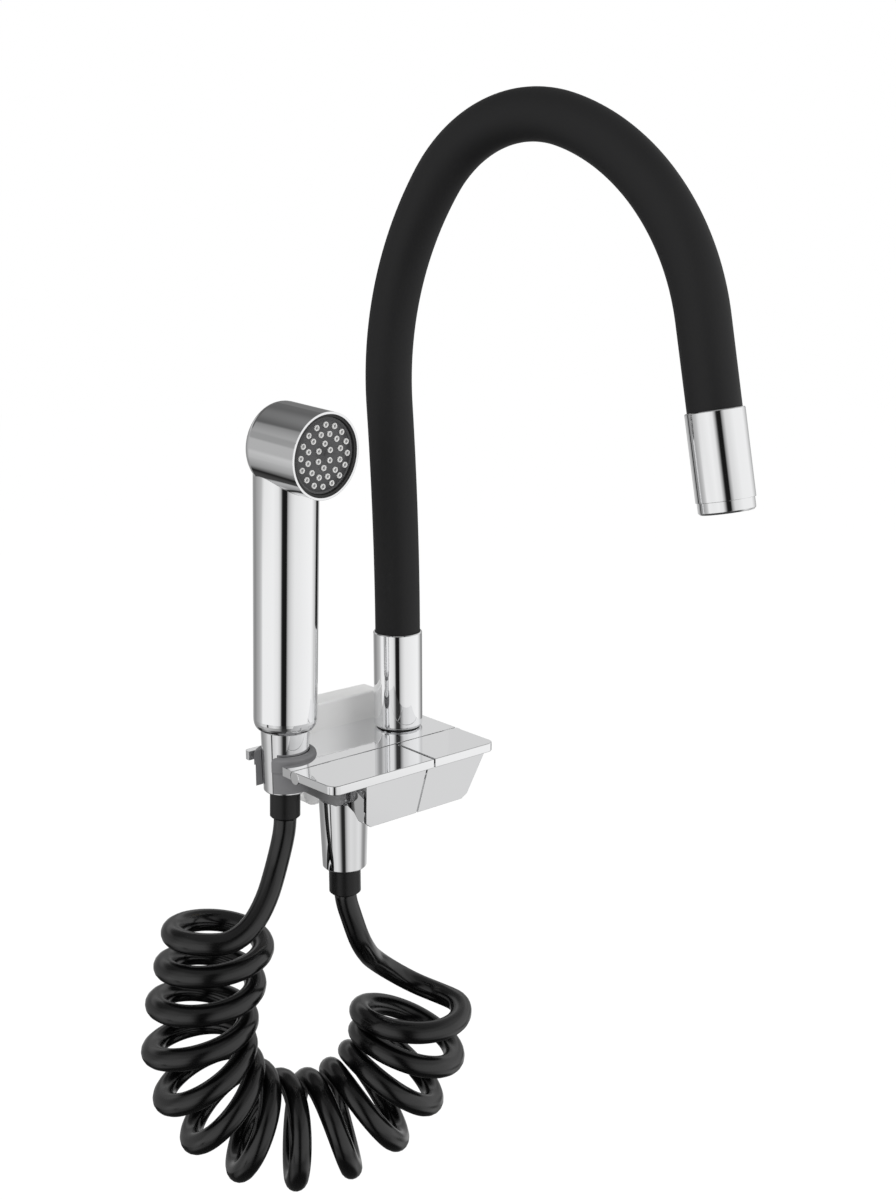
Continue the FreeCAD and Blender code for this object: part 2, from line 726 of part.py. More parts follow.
def neck_core():
    return neck_layer(neck_core_radius, neck_core_bore, 1.0)


def neck_tube():
    return neck_layer(neck_tube_radius, neck_tube_bore, 0.5)


def base_ferrule():
    """Turned foot of the spout: a cup for the sleeve on top and a grooved tail below."""
    r = ferrule_radius
    e = ferrule_edge_round
    cup_floor = ferrule_height - sleeve_insertion - 6.0
    low = ferrule_stand_off
    outer = [(tail_radius, low), (r - e, low)]
    for step in range(1, 5):
        angle = math.pi / 2 * step / 4
        outer.append((r - e + e * math.sin(angle), low + e - e * math.cos(angle)))
    outer += [(r, ferrule_height - 0.5), (r - 0.4, ferrule_height), (ferrule_bore_radius, ferrule_height),
              (ferrule_bore_radius, cup_floor), (tail_bore_radius, cup_floor)]
    grooves = []
    g = tail_radius - tail_groove_depth
    h = tail_groove_height / 2
    screw = spout_screw_z() - deck_top
    seal = screw + 3.4
    for middle in (screw, seal):
        grooves += [(tail_radius, middle - h), (g, middle - h), (g, middle + h), (tail_radius, middle + h)]
    inner = [(tail_bore_radius, -tail_depth), (tail_radius - 0.5, -tail_depth),
             (tail_radius, -tail_depth + 0.5)]
    profile = outer + inner + grooves
    return turned(profile, spout_foot)


def spout_o_ring():
    middle = spout_screw_z() + 3.4
    radius = tail_radius - tail_groove_depth
    ring = cylinder(tail_radius, V(spout_x, spout_y, middle - 1.0), V(spout_x, spout_y, middle + 1.0))
    return ring.cut(cylinder(radius + seal_gap, V(spout_x, spout_y, middle - 2),
                             V(spout_x, spout_y, middle + 2)))


def glide_ring():
    """Thin ring under the spout's foot; it shows as the dark line on the deck."""
    ring = cylinder(ferrule_radius - 1.3, spout_foot + Z_AXIS * 0.02,
                    spout_foot + Z_AXIS * (ferrule_stand_off - 0.02))
    return ring.cut(cylinder(tail_radius + 0.3, spout_foot - Z_AXIS, spout_foot + Z_AXIS))


def outlet_frame():
    """Point where the sleeve leaves the outlet ferrule, and the spout's direction there."""
    _, end_point, end_direction = neck_pieces(0, 0)
    return end_point, end_direction


def outlet_ferrule():
    point, direction = outlet_frame()
    r = ferrule_radius
    length = outlet_length
    step = outlet_step_length
    low_r = r - outlet_step_depth
    socket_r = aerator_radius + press_clearance
    profile = [(outlet_bore_radius, 0), (r - 0.4, 0), (r, 0.4), (r, length - step), (low_r, length - step),
               (low_r, length - 0.8), (low_r - 0.8, length), (socket_r, length),
               (socket_r, length - aerator_depth),
               (neck_tube_radius, length - aerator_depth), (neck_tube_radius, sleeve_insertion + 2.0),
               (outlet_bore_radius, sleeve_insertion + 2.0)]
    return along(point, direction, turned(profile))


def aerator_housing():
    point, direction = outlet_frame()
    top = outlet_length - aerator_depth + 0.1
    low = outlet_length - 0.6
    inner = aerator_radius - 1.4
    hole = neck_tube_radius - 1.5
    profile = [(aerator_radius, top), (aerator_radius, low), (inner, low), (inner, top + 1.2),
               (hole, top + 1.2), (hole, top)]
    return along(point, direction, turned(profile))


def aerator_insert():
    """Honeycomb-like grid disc at the mouth."""
    point, direction = outlet_frame()
    radius = aerator_radius - 1.4 - seal_gap
    disc = Part.makeCylinder(radius, 4.0, V(0, 0, outlet_length - 5.0))
    half = (aerator_pitch - aerator_web) / 2
    reach = 3
    for column in range(-reach, reach + 1):
        for row in range(-reach, reach + 1):
            x = column * aerator_pitch
            y = row * aerator_pitch
            if math.hypot(x, y) < radius - 1.6:
                hole = Part.makeBox(2 * half, 2 * half, 6, V(x - half, y - half, outlet_length - 6))
                disc = disc.cut(hole)
    return along(point, direction, disc)


def aerator_washer():
    point, direction = outlet_frame()
    top = outlet_length - aerator_depth + 1.3
    profile = [(aerator_radius - 1.5, top), (aerator_radius - 1.5, top + 1.8), (5.0, top + 1.8), (5.0, top)]
    return along(point, direction, turned(profile))


# ---------------------------------------------------------------- hand spray
def in_handset(shape):
    """Place a shape drawn upright on the clip's centre onto the leaning handset axis."""
    return along(handset_base, handset_axis, shape)


def head_placement():
    turn = math.radians(head_turn_degrees)
    tilt = math.radians(head_tilt_degrees)
    facing = V(math.sin(turn) * math.cos(tilt), -math.cos(turn) * math.cos(tilt), -math.sin(tilt))
    return facing


def head_solid(shape):
    """Place a shape drawn on +Z (front of the head up) onto the head's axis."""
    centre = handset_base + handset_axis * handset_rise
    turned_shape = shape.copy()
    turned_shape.Placement = FreeCAD.Placement(centre, FreeCAD.Rotation(Z_AXIS, head_placement()))
    return turned_shape


def handle_outline(top):
    """Half outline of the handle and stem: taper, rounded shoulder and straight grip."""
    r = handle_radius
    round_r = min(handle_shoulder_round, r - stem_top_radius + 2)
    points = [(0, stem_bottom), (stem_bottom_radius - 0.6, stem_bottom)]
    points += [(stem_bottom_radius, stem_bottom + 0.6), (stem_top_radius, handle_shoulder_low)]
    rise = handle_shoulder_low + 1.2
    points += [(stem_top_radius + 0.4, handle_shoulder_low + 0.4)]
    width = r - stem_top_radius - 0.4
    for step in range(1, 7):
        angle = math.pi / 2 * step / 6
        points.append((stem_top_radius + 0.4 + width * math.sin(angle),
                       rise - 0.8 + round_r * (1 - math.cos(angle))))
    points += [(r, top), (0, top)]
    return points


def handset_shell():
    """Handle and head in one chromed moulding, with a soft neck under the head."""
    handle = turned(handle_outline(handset_rise))
    dome = Part.makeSphere(handle_radius, V(0, 0, handset_rise))
    handle = in_handset(handle.fuse(dome))
    head = Part.makeCylinder(head_radius, head_front + head_back, V(0, 0, -head_back))
    back_edge = [e for e in head.Edges if e.BoundBox.ZMax < -head_back + 0.01]
    head = head.makeFillet(head_back_round, back_edge)
    head = head_solid(head)
    solid = handle.fuse(head).removeSplitter()
    pocket = Part.makeCylinder(head_radius - bezel_width, bezel_depth + 1, V(0, 0, head_front - bezel_depth))
    chamber_back = head_front - bezel_depth - head_chamber_depth + 1
    chamber = Part.makeCylinder(head_radius - bezel_width - handset_wall, head_chamber_depth,
                                V(0, 0, chamber_back))
    solid = solid.cut(head_solid(pocket)).cut(head_solid(chamber))
    hollow = Part.makeCylinder(handle_radius - handset_wall, handset_rise - handset_floor - head_radius,
                               V(0, 0, handset_floor))
    crimp_room = Part.makeCylinder(handset_spigot_radius(), handset_floor - stem_bottom + 2,
                                   V(0, 0, stem_bottom - 1))
    neck_way = Part.makeCylinder(waterway_radius + press_clearance, head_radius + 4,
                                 V(0, 0, handset_rise - head_radius - 2))
    return solid.cut(in_handset(hollow.fuse(crimp_room).fuse(neck_way)))


def handset_spigot_radius():
    return handset_crimp_radius - 1.2


def handset_waterway():
    """Tube that carries the water through the hollow handle to the head."""
    low = stem_bottom + 13.5
    high = handset_rise - 2.0
    tube = Part.makeCylinder(waterway_radius, high - low, V(0, 0, low))
    return in_handset(tube.cut(Part.makeCylinder(waterway_bore_radius, high - low + 2, V(0, 0, low - 1))))


def face_ring():
    """Dark seal between the bright lip and the spray face."""
    outer = head_radius - bezel_width - press_clearance
    back = head_front - bezel_depth
    ring = Part.makeCylinder(outer, bezel_depth - 0.5, V(0, 0, back))
    ring = ring.cut(Part.makeCylinder(outer - 1.2, bezel_depth + 1, V(0, 0, back - 0.5)))
    return head_solid(ring)


def spray_face():
    radius = head_radius - bezel_width - press_clearance - 1.2 - seal_gap
    front = head_front - face_recess
    plate = Part.makeCylinder(radius, front - (head_front - bezel_depth), V(0, 0, head_front - bezel_depth))
    for x, y in nozzle_places():
        hole = Part.makeCylinder(nozzle_radius + seal_gap, 20, V(x, y, head_front - bezel_depth - 2))
        plate = plate.cut(hole)
    return head_solid(plate)


def nozzle_places():
    places = []
    for count, radius in zip(nozzle_ring_counts, nozzle_ring_radii):
        for index in range(int(count)):
            angle = 2 * math.pi * (index + 0.5) / count
            places.append((radius * math.cos(angle), radius * math.sin(angle)))
    return places


def spray_nozzles():
    """Soft nozzles, one small tube for each hole of the face."""
    nozzles = []
    low = head_front - bezel_depth
    high = head_front - face_recess + nozzle_height
    for x, y in nozzle_places():
        tube = Part.makeCylinder(nozzle_radius, high - low, V(x, y, low))
        tube = tube.cut(Part.makeCylinder(nozzle_bore_radius, 2.0, V(x, y, high - 1.5)))
        nozzles.append(head_solid(tube))
    return group(nozzles)


def handset_check_valve():
    """Non-return valve capsule in the foot of the handle."""
    capsule = Part.makeCylinder(handset_spigot_radius() - seal_gap, 8.0, V(0, 0, stem_bottom + 5.0))
    capsule = capsule.cut(Part.makeCylinder(3.2, 10, V(0, 0, stem_bottom + 6.0)))
    return in_handset(capsule)


def handset_crimp():
    """Black crimp sleeve on the hose with its spigot in the stem."""
    low = stem_bottom - handset_crimp_length
    r = handset_crimp_radius
    spigot = handset_spigot_radius() - seal_gap
    top = stem_bottom - seal_gap
    profile = [(0, low), (r - 0.7, low), (r, low + 0.7), (r, top), (spigot, top),
               (spigot, stem_bottom + 4.8), (0, stem_bottom + 4.8)]
    return in_handset(turned(profile))


# ---------------------------------------------------------------- holder clip
def holder_outer(radius, low, high):
    """Upright cylinder round the clip's centre, heights counted from the deck's top."""
    return cylinder(radius, V(holder_x, holder_y, deck_top + low), V(holder_x, holder_y, deck_top + high))


def holder_clip():
    """Plastic C-ring in the deck's notch, with a lip over the deck and a tapered bore."""
    lip = holder_outer(clip_top_radius, -deck_thickness, clip_above_deck)
    edge = [e for e in lip.Edges if e.BoundBox.ZMin > deck_top + clip_above_deck - 0.01]
    lip = lip.makeFillet(1.9, edge)
    ring = holder_outer(clip_outer_radius, clip_bottom, 0.0).fuse(lip)
    low_radius = stem_bottom_radius + stem_slope * (clip_bottom - 2 - stem_bottom) + free_clearance
    high_radius = low_radius + stem_slope * (clip_above_deck - clip_bottom + 4)
    bore = Part.makeCone(low_radius, high_radius, clip_above_deck - clip_bottom + 4, V(0, 0, clip_bottom - 2))
    ring = ring.cut(in_handset(bore))
    slot = box(holder_x - 30, holder_x, holder_y - clip_slot_half, holder_y + clip_slot_half, -30, 60)
    beside = box(cheek_outer_left - press_clearance, 0, -60, 0, -60, deck_bottom)
    ring = ring.cut(slot).cut(beside)
    for y in clip_screw_rows():
        hole = cylinder(clip_screw_radius + press_clearance, V(holder_x, y, clip_screw_z()),
                        V(0, y, clip_screw_z()))
        head = cylinder(clip_screw_head_radius + press_clearance, V(holder_x, y, clip_screw_z()),
                        V(holder_x + clip_screw_seat, y, clip_screw_z()))
        ring = ring.cut(hole).cut(head)
    return ring


def clip_screw_rows():
    spread = clip_outer_radius - clip_screw_inset
    return (holder_y - spread, holder_y + spread)


def clip_screw_z():
    return deck_bottom - clip_screw_drop


def clip_screws():
    """Two screws that hold the clip to the body's left cheek, their heads sunk in the clip's wall."""
    screws = []
    for y in clip_screw_rows():
        seat = V(holder_x + clip_screw_seat - 0.02, y, clip_screw_z())
        head = cylinder(clip_screw_head_radius, seat - X_AXIS * 1.3, seat)
        slot = box(seat.x - 2, seat.x - 0.8, y - 0.3, y + 0.3, seat.z - 3, seat.z + 3)
        tip = V(cheek_outer_left + clip_screw_grip, y, seat.z)
        shank = cylinder(clip_screw_radius, seat - X_AXIS * 0.2, tip)
        screws.append(head.cut(slot).fuse(shank))
    return group(screws)


# ---------------------------------------------------------------- hose outlet
def hose_outlet():
    """Chromed cone screwed into the underside of the body."""
    profile = [(cone_bore_radius, cone_bottom_z), (cone_bottom_radius - 0.8, cone_bottom_z),
               (cone_bottom_radius, cone_bottom_z + 0.8), (cone_top_radius, cone_top_z - 0.6),
               (cone_top_radius - 0.6, cone_top_z), (cone_spigot_radius + 2.2, cone_top_z),
               (cone_spigot_radius + 2.2, body_bottom - 0.02), (cone_spigot_radius, body_bottom - 0.02),
               (cone_spigot_radius, body_bottom + cone_spigot_height),
               (cone_bore_radius, body_bottom + cone_spigot_height)]
    return turned(profile, V(outlet_x, outlet_y, 0))


def outlet_check_valve():
    low = cone_top_z - 10
    capsule = cylinder(cone_bore_radius - seal_gap, V(outlet_x, outlet_y, low),
                       V(outlet_x, outlet_y, low + 9))
    return capsule.cut(cylinder(2.2, V(outlet_x, outlet_y, low + 1), V(outlet_x, outlet_y, low + 10)))


def outlet_crimp():
    r = outlet_crimp_radius
    low = cone_bottom_z - outlet_crimp_length
    spigot = cone_bore_radius - seal_gap
    top = cone_bottom_z - seal_gap
    profile = [(0, low), (r - 0.7, low), (r, low + 0.7), (r, top), (spigot, top),
               (spigot, cone_bottom_z + 8), (0, cone_bottom_z + 8)]
    return turned(profile, V(outlet_x, outlet_y, 0))


# ---------------------------------------------------------------- curly hose
def coil_guide(length):
    """Place and direction on the coil's guide line, a chain of arcs in its own plane."""
    place = V(coil_top_u, coil_top_z, 0)
    heading = math.radians(coil_heading_degrees)
    last = len(coil_guide_turns) - 1
    for index, degrees in enumerate(coil_guide_turns):
        rate = math.radians(degrees) / coil_guide_step
        run = length if index == last else min(length, coil_guide_step)
        chord = run
        if abs(rate * run) > 1e-9:
            chord = 2 * math.sin(rate * run / 2) / rate
        middle = heading + rate * run / 2
        place = place + V(math.cos(middle), math.sin(middle), 0) * chord
        heading += rate * run
        length -= run
    return place, V(math.cos(heading), math.sin(heading), 0)


def coil_advance(turns):
    """Length along the guide after so many turns, from the pitches and the turns they belong to."""
    length = 0.0
    spans = list(zip(coil_pitch_places, coil_pitches))
    for (here, pitch), (after, next_pitch) in zip(spans, spans[1:]):
        part = min(max(turns - here, 0.0), after - here)
        length += pitch * part + (next_pitch - pitch) * part ** 2 / (2 * (after - here))
    if turns < 0:
        length = coil_pitches[0] * turns
    beyond = turns - coil_pitch_places[-1]
    return length + max(beyond, 0.0) * coil_pitches[-1]


def along_coil(values, length):
    share = length / coil_spread_length
    return values[0] + values[1] * share + values[2] * share ** 2


def in_hose_plane(u, front, z):
    return V(handset_hose_end.x, handset_hose_end.y, 0) + coil_along * u + coil_front * front + Z_AXIS * z


def coil_point(turns):
    length = coil_advance(turns)
    spot, tangent = coil_guide(length)
    phase = 2 * math.pi * turns
    radius = along_coil(coil_radius, length)
    side = radius * math.sin(phase)
    lean = along_coil(coil_front_lean, length) * math.cos(phase)
    lean += along_coil(coil_side_lean, length) * math.sin(phase)
    front = along_coil(coil_front_offset, length) + radius * math.cos(phase)
    u = spot.x + side * tangent.y + lean * tangent.x
    z = spot.y - side * tangent.x + lean * tangent.y
    return in_hose_plane(u, front, z)


def hose_nodes():
    """Points of the hose's centre line with the direction of travel at each."""
    step = 0.001
    coil = []
    for quarter in range(int(round(coil_turns * 4)) + 1):
        turns = quarter / 4
        travel = coil_point(turns + step) - coil_point(turns - step)
        coil.append((coil_point(turns), travel.normalize()))
    first = [in_hose_plane(*place) for place in handset_lead]
    last = [in_hose_plane(*place) for place in outlet_lead]
    nodes = [(handset_hose_end, handset_axis * -1)]
    nodes += with_travel([handset_hose_end] + first + [coil[0][0]])
    nodes += coil
    nodes += with_travel([coil[-1][0]] + last + [outlet_hose_end])
    nodes.append((outlet_hose_end, V(0, 0, 1)))
    return nodes


def with_travel(points):
    """Inner points of a list, each with the direction of the circle through it and its neighbours."""
    result = []
    for before, here, after in zip(points, points[1:], points[2:]):
        a = here - before
        b = after - here
        direction = a * (b.Length / a.Length) + b * (a.Length / b.Length)
        result.append((here, direction.normalize()))
    return result


def biarc(start, start_dir, end, end_dir):
    """Two tangent arcs that join two points with given directions."""
    chord = end - start
    both = start_dir + end_dir
    a = 2 * (1 - start_dir.dot(end_dir))
    b = 2 * chord.dot(both)
    c = -chord.dot(chord)
    if abs(a) < 1e-9:
        reach = -c / b
    else:
        reach = (-b + math.sqrt(b * b - 4 * a * c)) / (2 * a)
    corner_a = start + start_dir * reach
    corner_b = end - end_dir * reach
    joint = (corner_a + corner_b) * 0.5
    return [arc_through(start, corner_a, joint), arc_through(joint, corner_b, end)]


def arc_through(start, corner, end):
    """Arc from start to end whose end tangents meet at corner; a line where they nearly agree."""
    middle = (start + end) * 0.5
    rise = corner - middle
    half = (end - start).Length / 2
    if rise.Length < half * 1e-5:
        return Part.makeLine(start, end)
    half_turn = math.atan2(rise.Length, half)
    top = middle + rise.normalize() * (half * math.tan(half_turn / 2))
    return Part.Arc(start, top, end).toShape()


def hose_edges():
    nodes = hose_nodes()
    edges = []
    for (a, a_dir), (b, b_dir) in zip(nodes, nodes[1:]):
        edges += biarc(a, a_dir, b, b_dir)
    return edges


def least_self_gap(edges):
    """Smallest distance between turns of the hose, measured on points every few millimetres."""
    points = []
    travelled = 0.0
    for edge in edges:
        count = max(2, int(edge.Length / 2.0))
        for index in range(count):
            share = index / count
            spot = edge.valueAt(edge.FirstParameter + (edge.LastParameter - edge.FirstParameter) * share)
            points.append((travelled + edge.Length * share, spot))
        travelled += edge.Length
    least = 1e9
    for index, (length_a, a) in enumerate(points):
        for length_b, b in points[index + 1:]:
            if length_b - length_a > 8 * hose_radius:
                least = min(least, a.distanceToPoint(b))
    return least - 2 * hose_radius, travelled


def curly_hose():
    edges = hose_edges()
    gap, length = least_self_gap(edges)
    print("curly hose: length %.1f mm, least gap to itself %.2f mm" % (length, gap))
    hose = swept(edges, hose_radius)
    section = math.pi * hose_radius ** 2
    print("curly hose: volume over section times length %.4f" % (hose.Volume / (section * length)))
    return hose


# ---------------------------------------------------------------- build
def main():
    os.makedirs("parts", exist_ok=True)
    export(wall_flange(), "wall_flange")
    export(inlet_shank(), "inlet_shank")
    export(inlet_filter(), "inlet_filter")
    export(body_casting(), "body_casting")
    export(rear_deck(), "rear_deck")
    export(deck_screws(), "deck_screws")
    export(hinge_pin(), "hinge_pin")
    export(deck_gasket(), "deck_gasket")
    export(spout_seat(), "spout_seat")
    export(spout_keeper_screw(), "spout_keeper_screw")
    export(hose_outlet(), "hose_outlet")
    export(outlet_check_valve(), "outlet_check_valve")
    export(outlet_crimp(), "outlet_crimp")
    export(holder_clip(), "holder_clip")
    export(clip_screws(), "clip_screws")
    export(curly_hose(), "curly_hose")
    for name, x in (("spray", valve_offset_left), ("spout", valve_offset_right)):
        export(cartridge(x), name + "_valve_cartridge")
        export(plunger(x), name + "_valve_plunger")
        export(plunger_seal(x), name + "_valve_seal")
        export(seat_washer(x), name + "_valve_washer")
        export(drive_pin(x), name + "_drive_pin")
    export(spray_lever(), "spray_lever")
    export(spout_lever(), "spout_lever")
    export(base_ferrule(), "base_ferrule")
    export(spout_o_ring(), "spout_o_ring")
    export(glide_ring(), "glide_ring")
    export(spout_sleeve(), "spout_sleeve")
    export(neck_core(), "neck_core")
    export(neck_tube(), "neck_tube")
    export(outlet_ferrule(), "outlet_ferrule")
    export(aerator_housing(), "aerator_housing")
    export(aerator_insert(), "aerator_insert")
    export(aerator_washer(), "aerator_washer")
    export(handset_shell(), "handset_shell")
    export(face_ring(), "face_ring")
    export(spray_face(), "spray_face")
    export(spray_nozzles(), "spray_nozzles")
    export(handset_waterway(), "handset_waterway")
    export(handset_check_valve(), "handset_check_valve")
    export(handset_crimp(), "handset_crimp")


main()
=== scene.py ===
"""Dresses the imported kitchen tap: hose, spout sleeve, spray face, nozzles, inlet thread, finishes, studio."""

import math

import bpy
from mathutils import Matrix, Vector


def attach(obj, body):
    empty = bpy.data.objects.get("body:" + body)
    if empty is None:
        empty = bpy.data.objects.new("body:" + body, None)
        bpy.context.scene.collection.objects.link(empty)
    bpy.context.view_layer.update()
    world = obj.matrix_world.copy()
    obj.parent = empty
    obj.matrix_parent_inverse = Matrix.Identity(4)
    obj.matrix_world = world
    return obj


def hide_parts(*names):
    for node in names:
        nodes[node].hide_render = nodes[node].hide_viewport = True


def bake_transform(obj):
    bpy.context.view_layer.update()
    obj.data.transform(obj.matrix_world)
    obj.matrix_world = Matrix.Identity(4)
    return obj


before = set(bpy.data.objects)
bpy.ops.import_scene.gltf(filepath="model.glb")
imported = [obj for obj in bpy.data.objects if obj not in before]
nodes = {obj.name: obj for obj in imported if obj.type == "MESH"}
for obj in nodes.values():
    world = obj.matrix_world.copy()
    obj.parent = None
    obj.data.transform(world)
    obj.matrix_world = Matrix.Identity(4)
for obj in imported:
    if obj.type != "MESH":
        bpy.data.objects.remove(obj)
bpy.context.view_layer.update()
scene = bpy.context.scene


# ------------------------------------------------------------------ camera
CAMERA_PLACE = (-0.4112, -0.5702, 0.2391)
CAMERA_TURN = (math.radians(76.7), 0.0, math.radians(-40.6))
CAMERA_LENS = 43.5
CAMERA_SENSOR = 36.0
CAMERA_NEAREST = 0.01
CAMERA_FARTHEST = 20.0


def set_camera():
    data = bpy.data.cameras.new("photo_camera")
    data.lens = CAMERA_LENS
    data.sensor_fit = "AUTO"
    data.sensor_width = CAMERA_SENSOR
    data.clip_start = CAMERA_NEAREST
    data.clip_end = CAMERA_FARTHEST
    camera = bpy.data.objects.new("photo_camera", data)
    camera.location = CAMERA_PLACE
    camera.rotation_euler = CAMERA_TURN
    scene.collection.objects.link(camera)
    scene.camera = camera
    scene.view_settings.view_transform = "Standard"


set_camera()

# ------------------------------------------------------------------ tap sizes, in millimetres
HANDSET_FOOT = Vector((-48.8, -30.0, 12.0))
HANDSET_TOP = Vector((-45.3, -32.2, 157.2))
HANDSET_AXIS = (HANDSET_TOP - HANDSET_FOOT).normalized()
HEAD_TURN = math.radians(7.2)
HEAD_TILT = math.radians(5.6)
HEAD_FACING = Vector((math.sin(HEAD_TURN) * math.cos(HEAD_TILT),
                      -math.cos(HEAD_TURN) * math.cos(HEAD_TILT), -math.sin(HEAD_TILT)))
HOSE_RADIUS = 5.4
HOSE_BELOW_FOOT = 30.8
HOSE_AT_HANDSET = HANDSET_FOOT + HANDSET_AXIS * -HOSE_BELOW_FOOT
HOSE_AT_OUTLET = Vector((-22.8, -40.0, -61.5))
HOSE_ALONG = Vector((HOSE_AT_OUTLET.x - HOSE_AT_HANDSET.x,
                     HOSE_AT_OUTLET.y - HOSE_AT_HANDSET.y, 0)).normalized()
HOSE_FRONT = HOSE_ALONG.cross(Vector((0, 0, 1)))


# ------------------------------------------------------------------ mesh tools
def new_piece(name, vertices, faces):
    """A smooth mesh object from vertices in millimetres."""
    mesh = bpy.data.meshes.new(name)
    mesh.from_pydata([tuple(v * 0.001) for v in vertices], [], faces)
    mesh.update()
    for polygon in mesh.polygons:
        polygon.use_smooth = True
    piece = bpy.data.objects.new(name, mesh)
    scene.collection.objects.link(piece)
    return piece


def tube_along(path, radius, sides):
    """Vertices and faces of a round tube with closed ends."""
    count = len(path)
    tangents = []
    for i in range(count):
        tangents.append((path[min(i + 1, count - 1)] - path[max(i - 1, 0)]).normalized())
    normal = tangents[0].orthogonal().normalized()
    vertices = []
    for i in range(count):
        tangent = tangents[i]
        normal = (normal - tangent * normal.dot(tangent)).normalized()
        across = tangent.cross(normal)
        for k in range(sides):
            angle = 2 * math.pi * k / sides
            aside = across * (radius * math.sin(angle))
            vertices.append(path[i] + normal * (radius * math.cos(angle)) + aside)
    faces = []
    for i in range(count - 1):
        for k in range(sides):
            a = i * sides + k
            b = i * sides + (k + 1) % sides
            faces.append((a, b, b + sides, a + sides))
    last = (count - 1) * sides
    faces.append(tuple(reversed(range(sides))))
    faces.append(tuple(last + k for k in range(sides)))
    return vertices, faces


def lathe(profile, sides):
    """Vertices and faces of a (radius, height) outline turned about +Z; the outline is closed."""
    vertices = []
    for k in range(sides):
        angle = 2 * math.pi * k / sides
        for radius, height in profile:
            vertices.append(Vector((radius * math.cos(angle), radius * math.sin(angle), height)))
    faces = []
    n = len(profile)
    for k in range(sides):
        for i in range(n):
            a = k * n + i
            b = k * n + (i + 1) % n
            c = ((k + 1) % sides) * n + (i + 1) % n
            d = ((k + 1) % sides) * n + i
            faces.append((a, b, c, d)[::-1])
    return vertices, faces


def frame_on(origin, axis):
    """Matrix that puts +Z on axis at origin, turned the shortest way."""
    return Matrix.Translation(origin) @ Vector((0, 0, 1)).rotation_difference(axis).to_matrix().to_4x4()


# ------------------------------------------------------------------ curly hose
# The coil runs along a chain of arcs in the hose's own plane: u towards the outlet, z up. The offset,
# radius and leans are (start, change, change of change) along the spread length.
COIL_TOP = (-31.6, -72.0)
COIL_HEADING = math.radians(-104.5)
COIL_GUIDE_STEP = 45.0
COIL_GUIDE_TURNS = (0.4, 42.3, 47.9, 50.9, 47.5, 48.0)
COIL_SPREAD_LENGTH = 230.0
COIL_FRONT_OFFSET = (-4.9, 9.2, -4.5)
COIL_RADIUS = (21.9, 1.9, 1.8)
COIL_FRONT_LEAN = (-0.6, 2.0, 0.5)
COIL_SIDE_LEAN = (4.2, 0.5, -11.1)
COIL_TURNS = 12.25
COIL_PITCH_PLACES = (0.0, 1.0, 2.5, 4.5, 6.5, 8.5, 10.5, 12.25)
COIL_PITCHES = (11.6, 18.9, 19.6, 18.7, 22.7, 19.9, 18.5, 17.7)
POINTS_PER_TURN = 16
# A spline runs inside its control points, so the coil's points stand out by this factor.
SPLINE_PULL = 1.0 / 0.981
HOSE_SPLINE_STEPS = 4
HOSE_SIDES = 18
HANDSET_LEAD = ((0.0, 0.0, -22.0), (-1.3, 0.0, -30.4), (-5.9, 2.6, -44.4), (-12.1, 9.7, -55.9),
                (-21.0, 15.9, -65.9))
OUTLET_LEAD = ((82.9, -13.7, -133.3), (71.8, -23.4, -130.4), (59.2, -26.1, -121.9), (48.3, -19.8, -110.7),
               (41.6, -8.4, -100.3), (35.7, -1.1, -88.7), (31.5, 0.3, -75.1), (28.9, 0.2, -66.0))


def coil_guide(length):
    """Place and direction on the coil's guide line, a chain of arcs in its own plane."""
    place = Vector(COIL_TOP)
    heading = COIL_HEADING
    last = len(COIL_GUIDE_TURNS) - 1
    for index, degrees in enumerate(COIL_GUIDE_TURNS):
        rate = math.radians(degrees) / COIL_GUIDE_STEP
        run = length if index == last else min(length, COIL_GUIDE_STEP)
        chord = run
        if abs(rate * run) > 1e-9:
            chord = 2 * math.sin(rate * run / 2) / rate
        middle = heading + rate * run / 2
        place = place + Vector((math.cos(middle), math.sin(middle))) * chord
        heading += rate * run
        length -= run
    return place, Vector((math.cos(heading), math.sin(heading)))


def coil_advance(turns):
    """Length along the guide after so many turns."""
    length = 0.0
    spans = list(zip(COIL_PITCH_PLACES, COIL_PITCHES))
    for (here, pitch), (after, next_pitch) in zip(spans, spans[1:]):
        part = min(max(turns - here, 0.0), after - here)
        length += pitch * part + (next_pitch - pitch) * part ** 2 / (2 * (after - here))
    return length


def along_coil(values, length):
    """A value that changes evenly, and then faster or slower, along the coil."""
    share = length / COIL_SPREAD_LENGTH
    return values[0] + values[1] * share + values[2] * share ** 2


def in_hose_plane(u, front, z):
    """A place given along the hose's plane, in front of it and by its height."""
    place = HOSE_AT_HANDSET + HOSE_ALONG * u + HOSE_FRONT * front
    return Vector((place.x, place.y, z))


def coil_point(turns):
    length = coil_advance(turns)
    spot, tangent = coil_guide(length)
    phase = 2 * math.pi * turns
    radius = along_coil(COIL_RADIUS, length) * SPLINE_PULL
    side = radius * math.sin(phase)
    lean = along_coil(COIL_FRONT_LEAN, length) * math.cos(phase)
    lean += along_coil(COIL_SIDE_LEAN, length) * math.sin(phase)
    front = along_coil(COIL_FRONT_OFFSET, length) + radius * math.cos(phase)
    u = spot.x + side * tangent.y + lean * tangent.x
    z = spot.y - side * tangent.x + lean * tangent.y
    return in_hose_plane(u, front, z)


def hose_route():
    """The hose's one spline: down from the handset, round the coil's turns, up to the cone."""
    route = [HOSE_AT_HANDSET]
    route += [in_hose_plane(*place) for place in HANDSET_LEAD]
    for step in range(int(COIL_TURNS * POINTS_PER_TURN) + 1):
        route.append(coil_point(step / POINTS_PER_TURN))
    route += [in_hose_plane(*place) for place in OUTLET_LEAD]
    route.append(HOSE_AT_OUTLET)
    return route


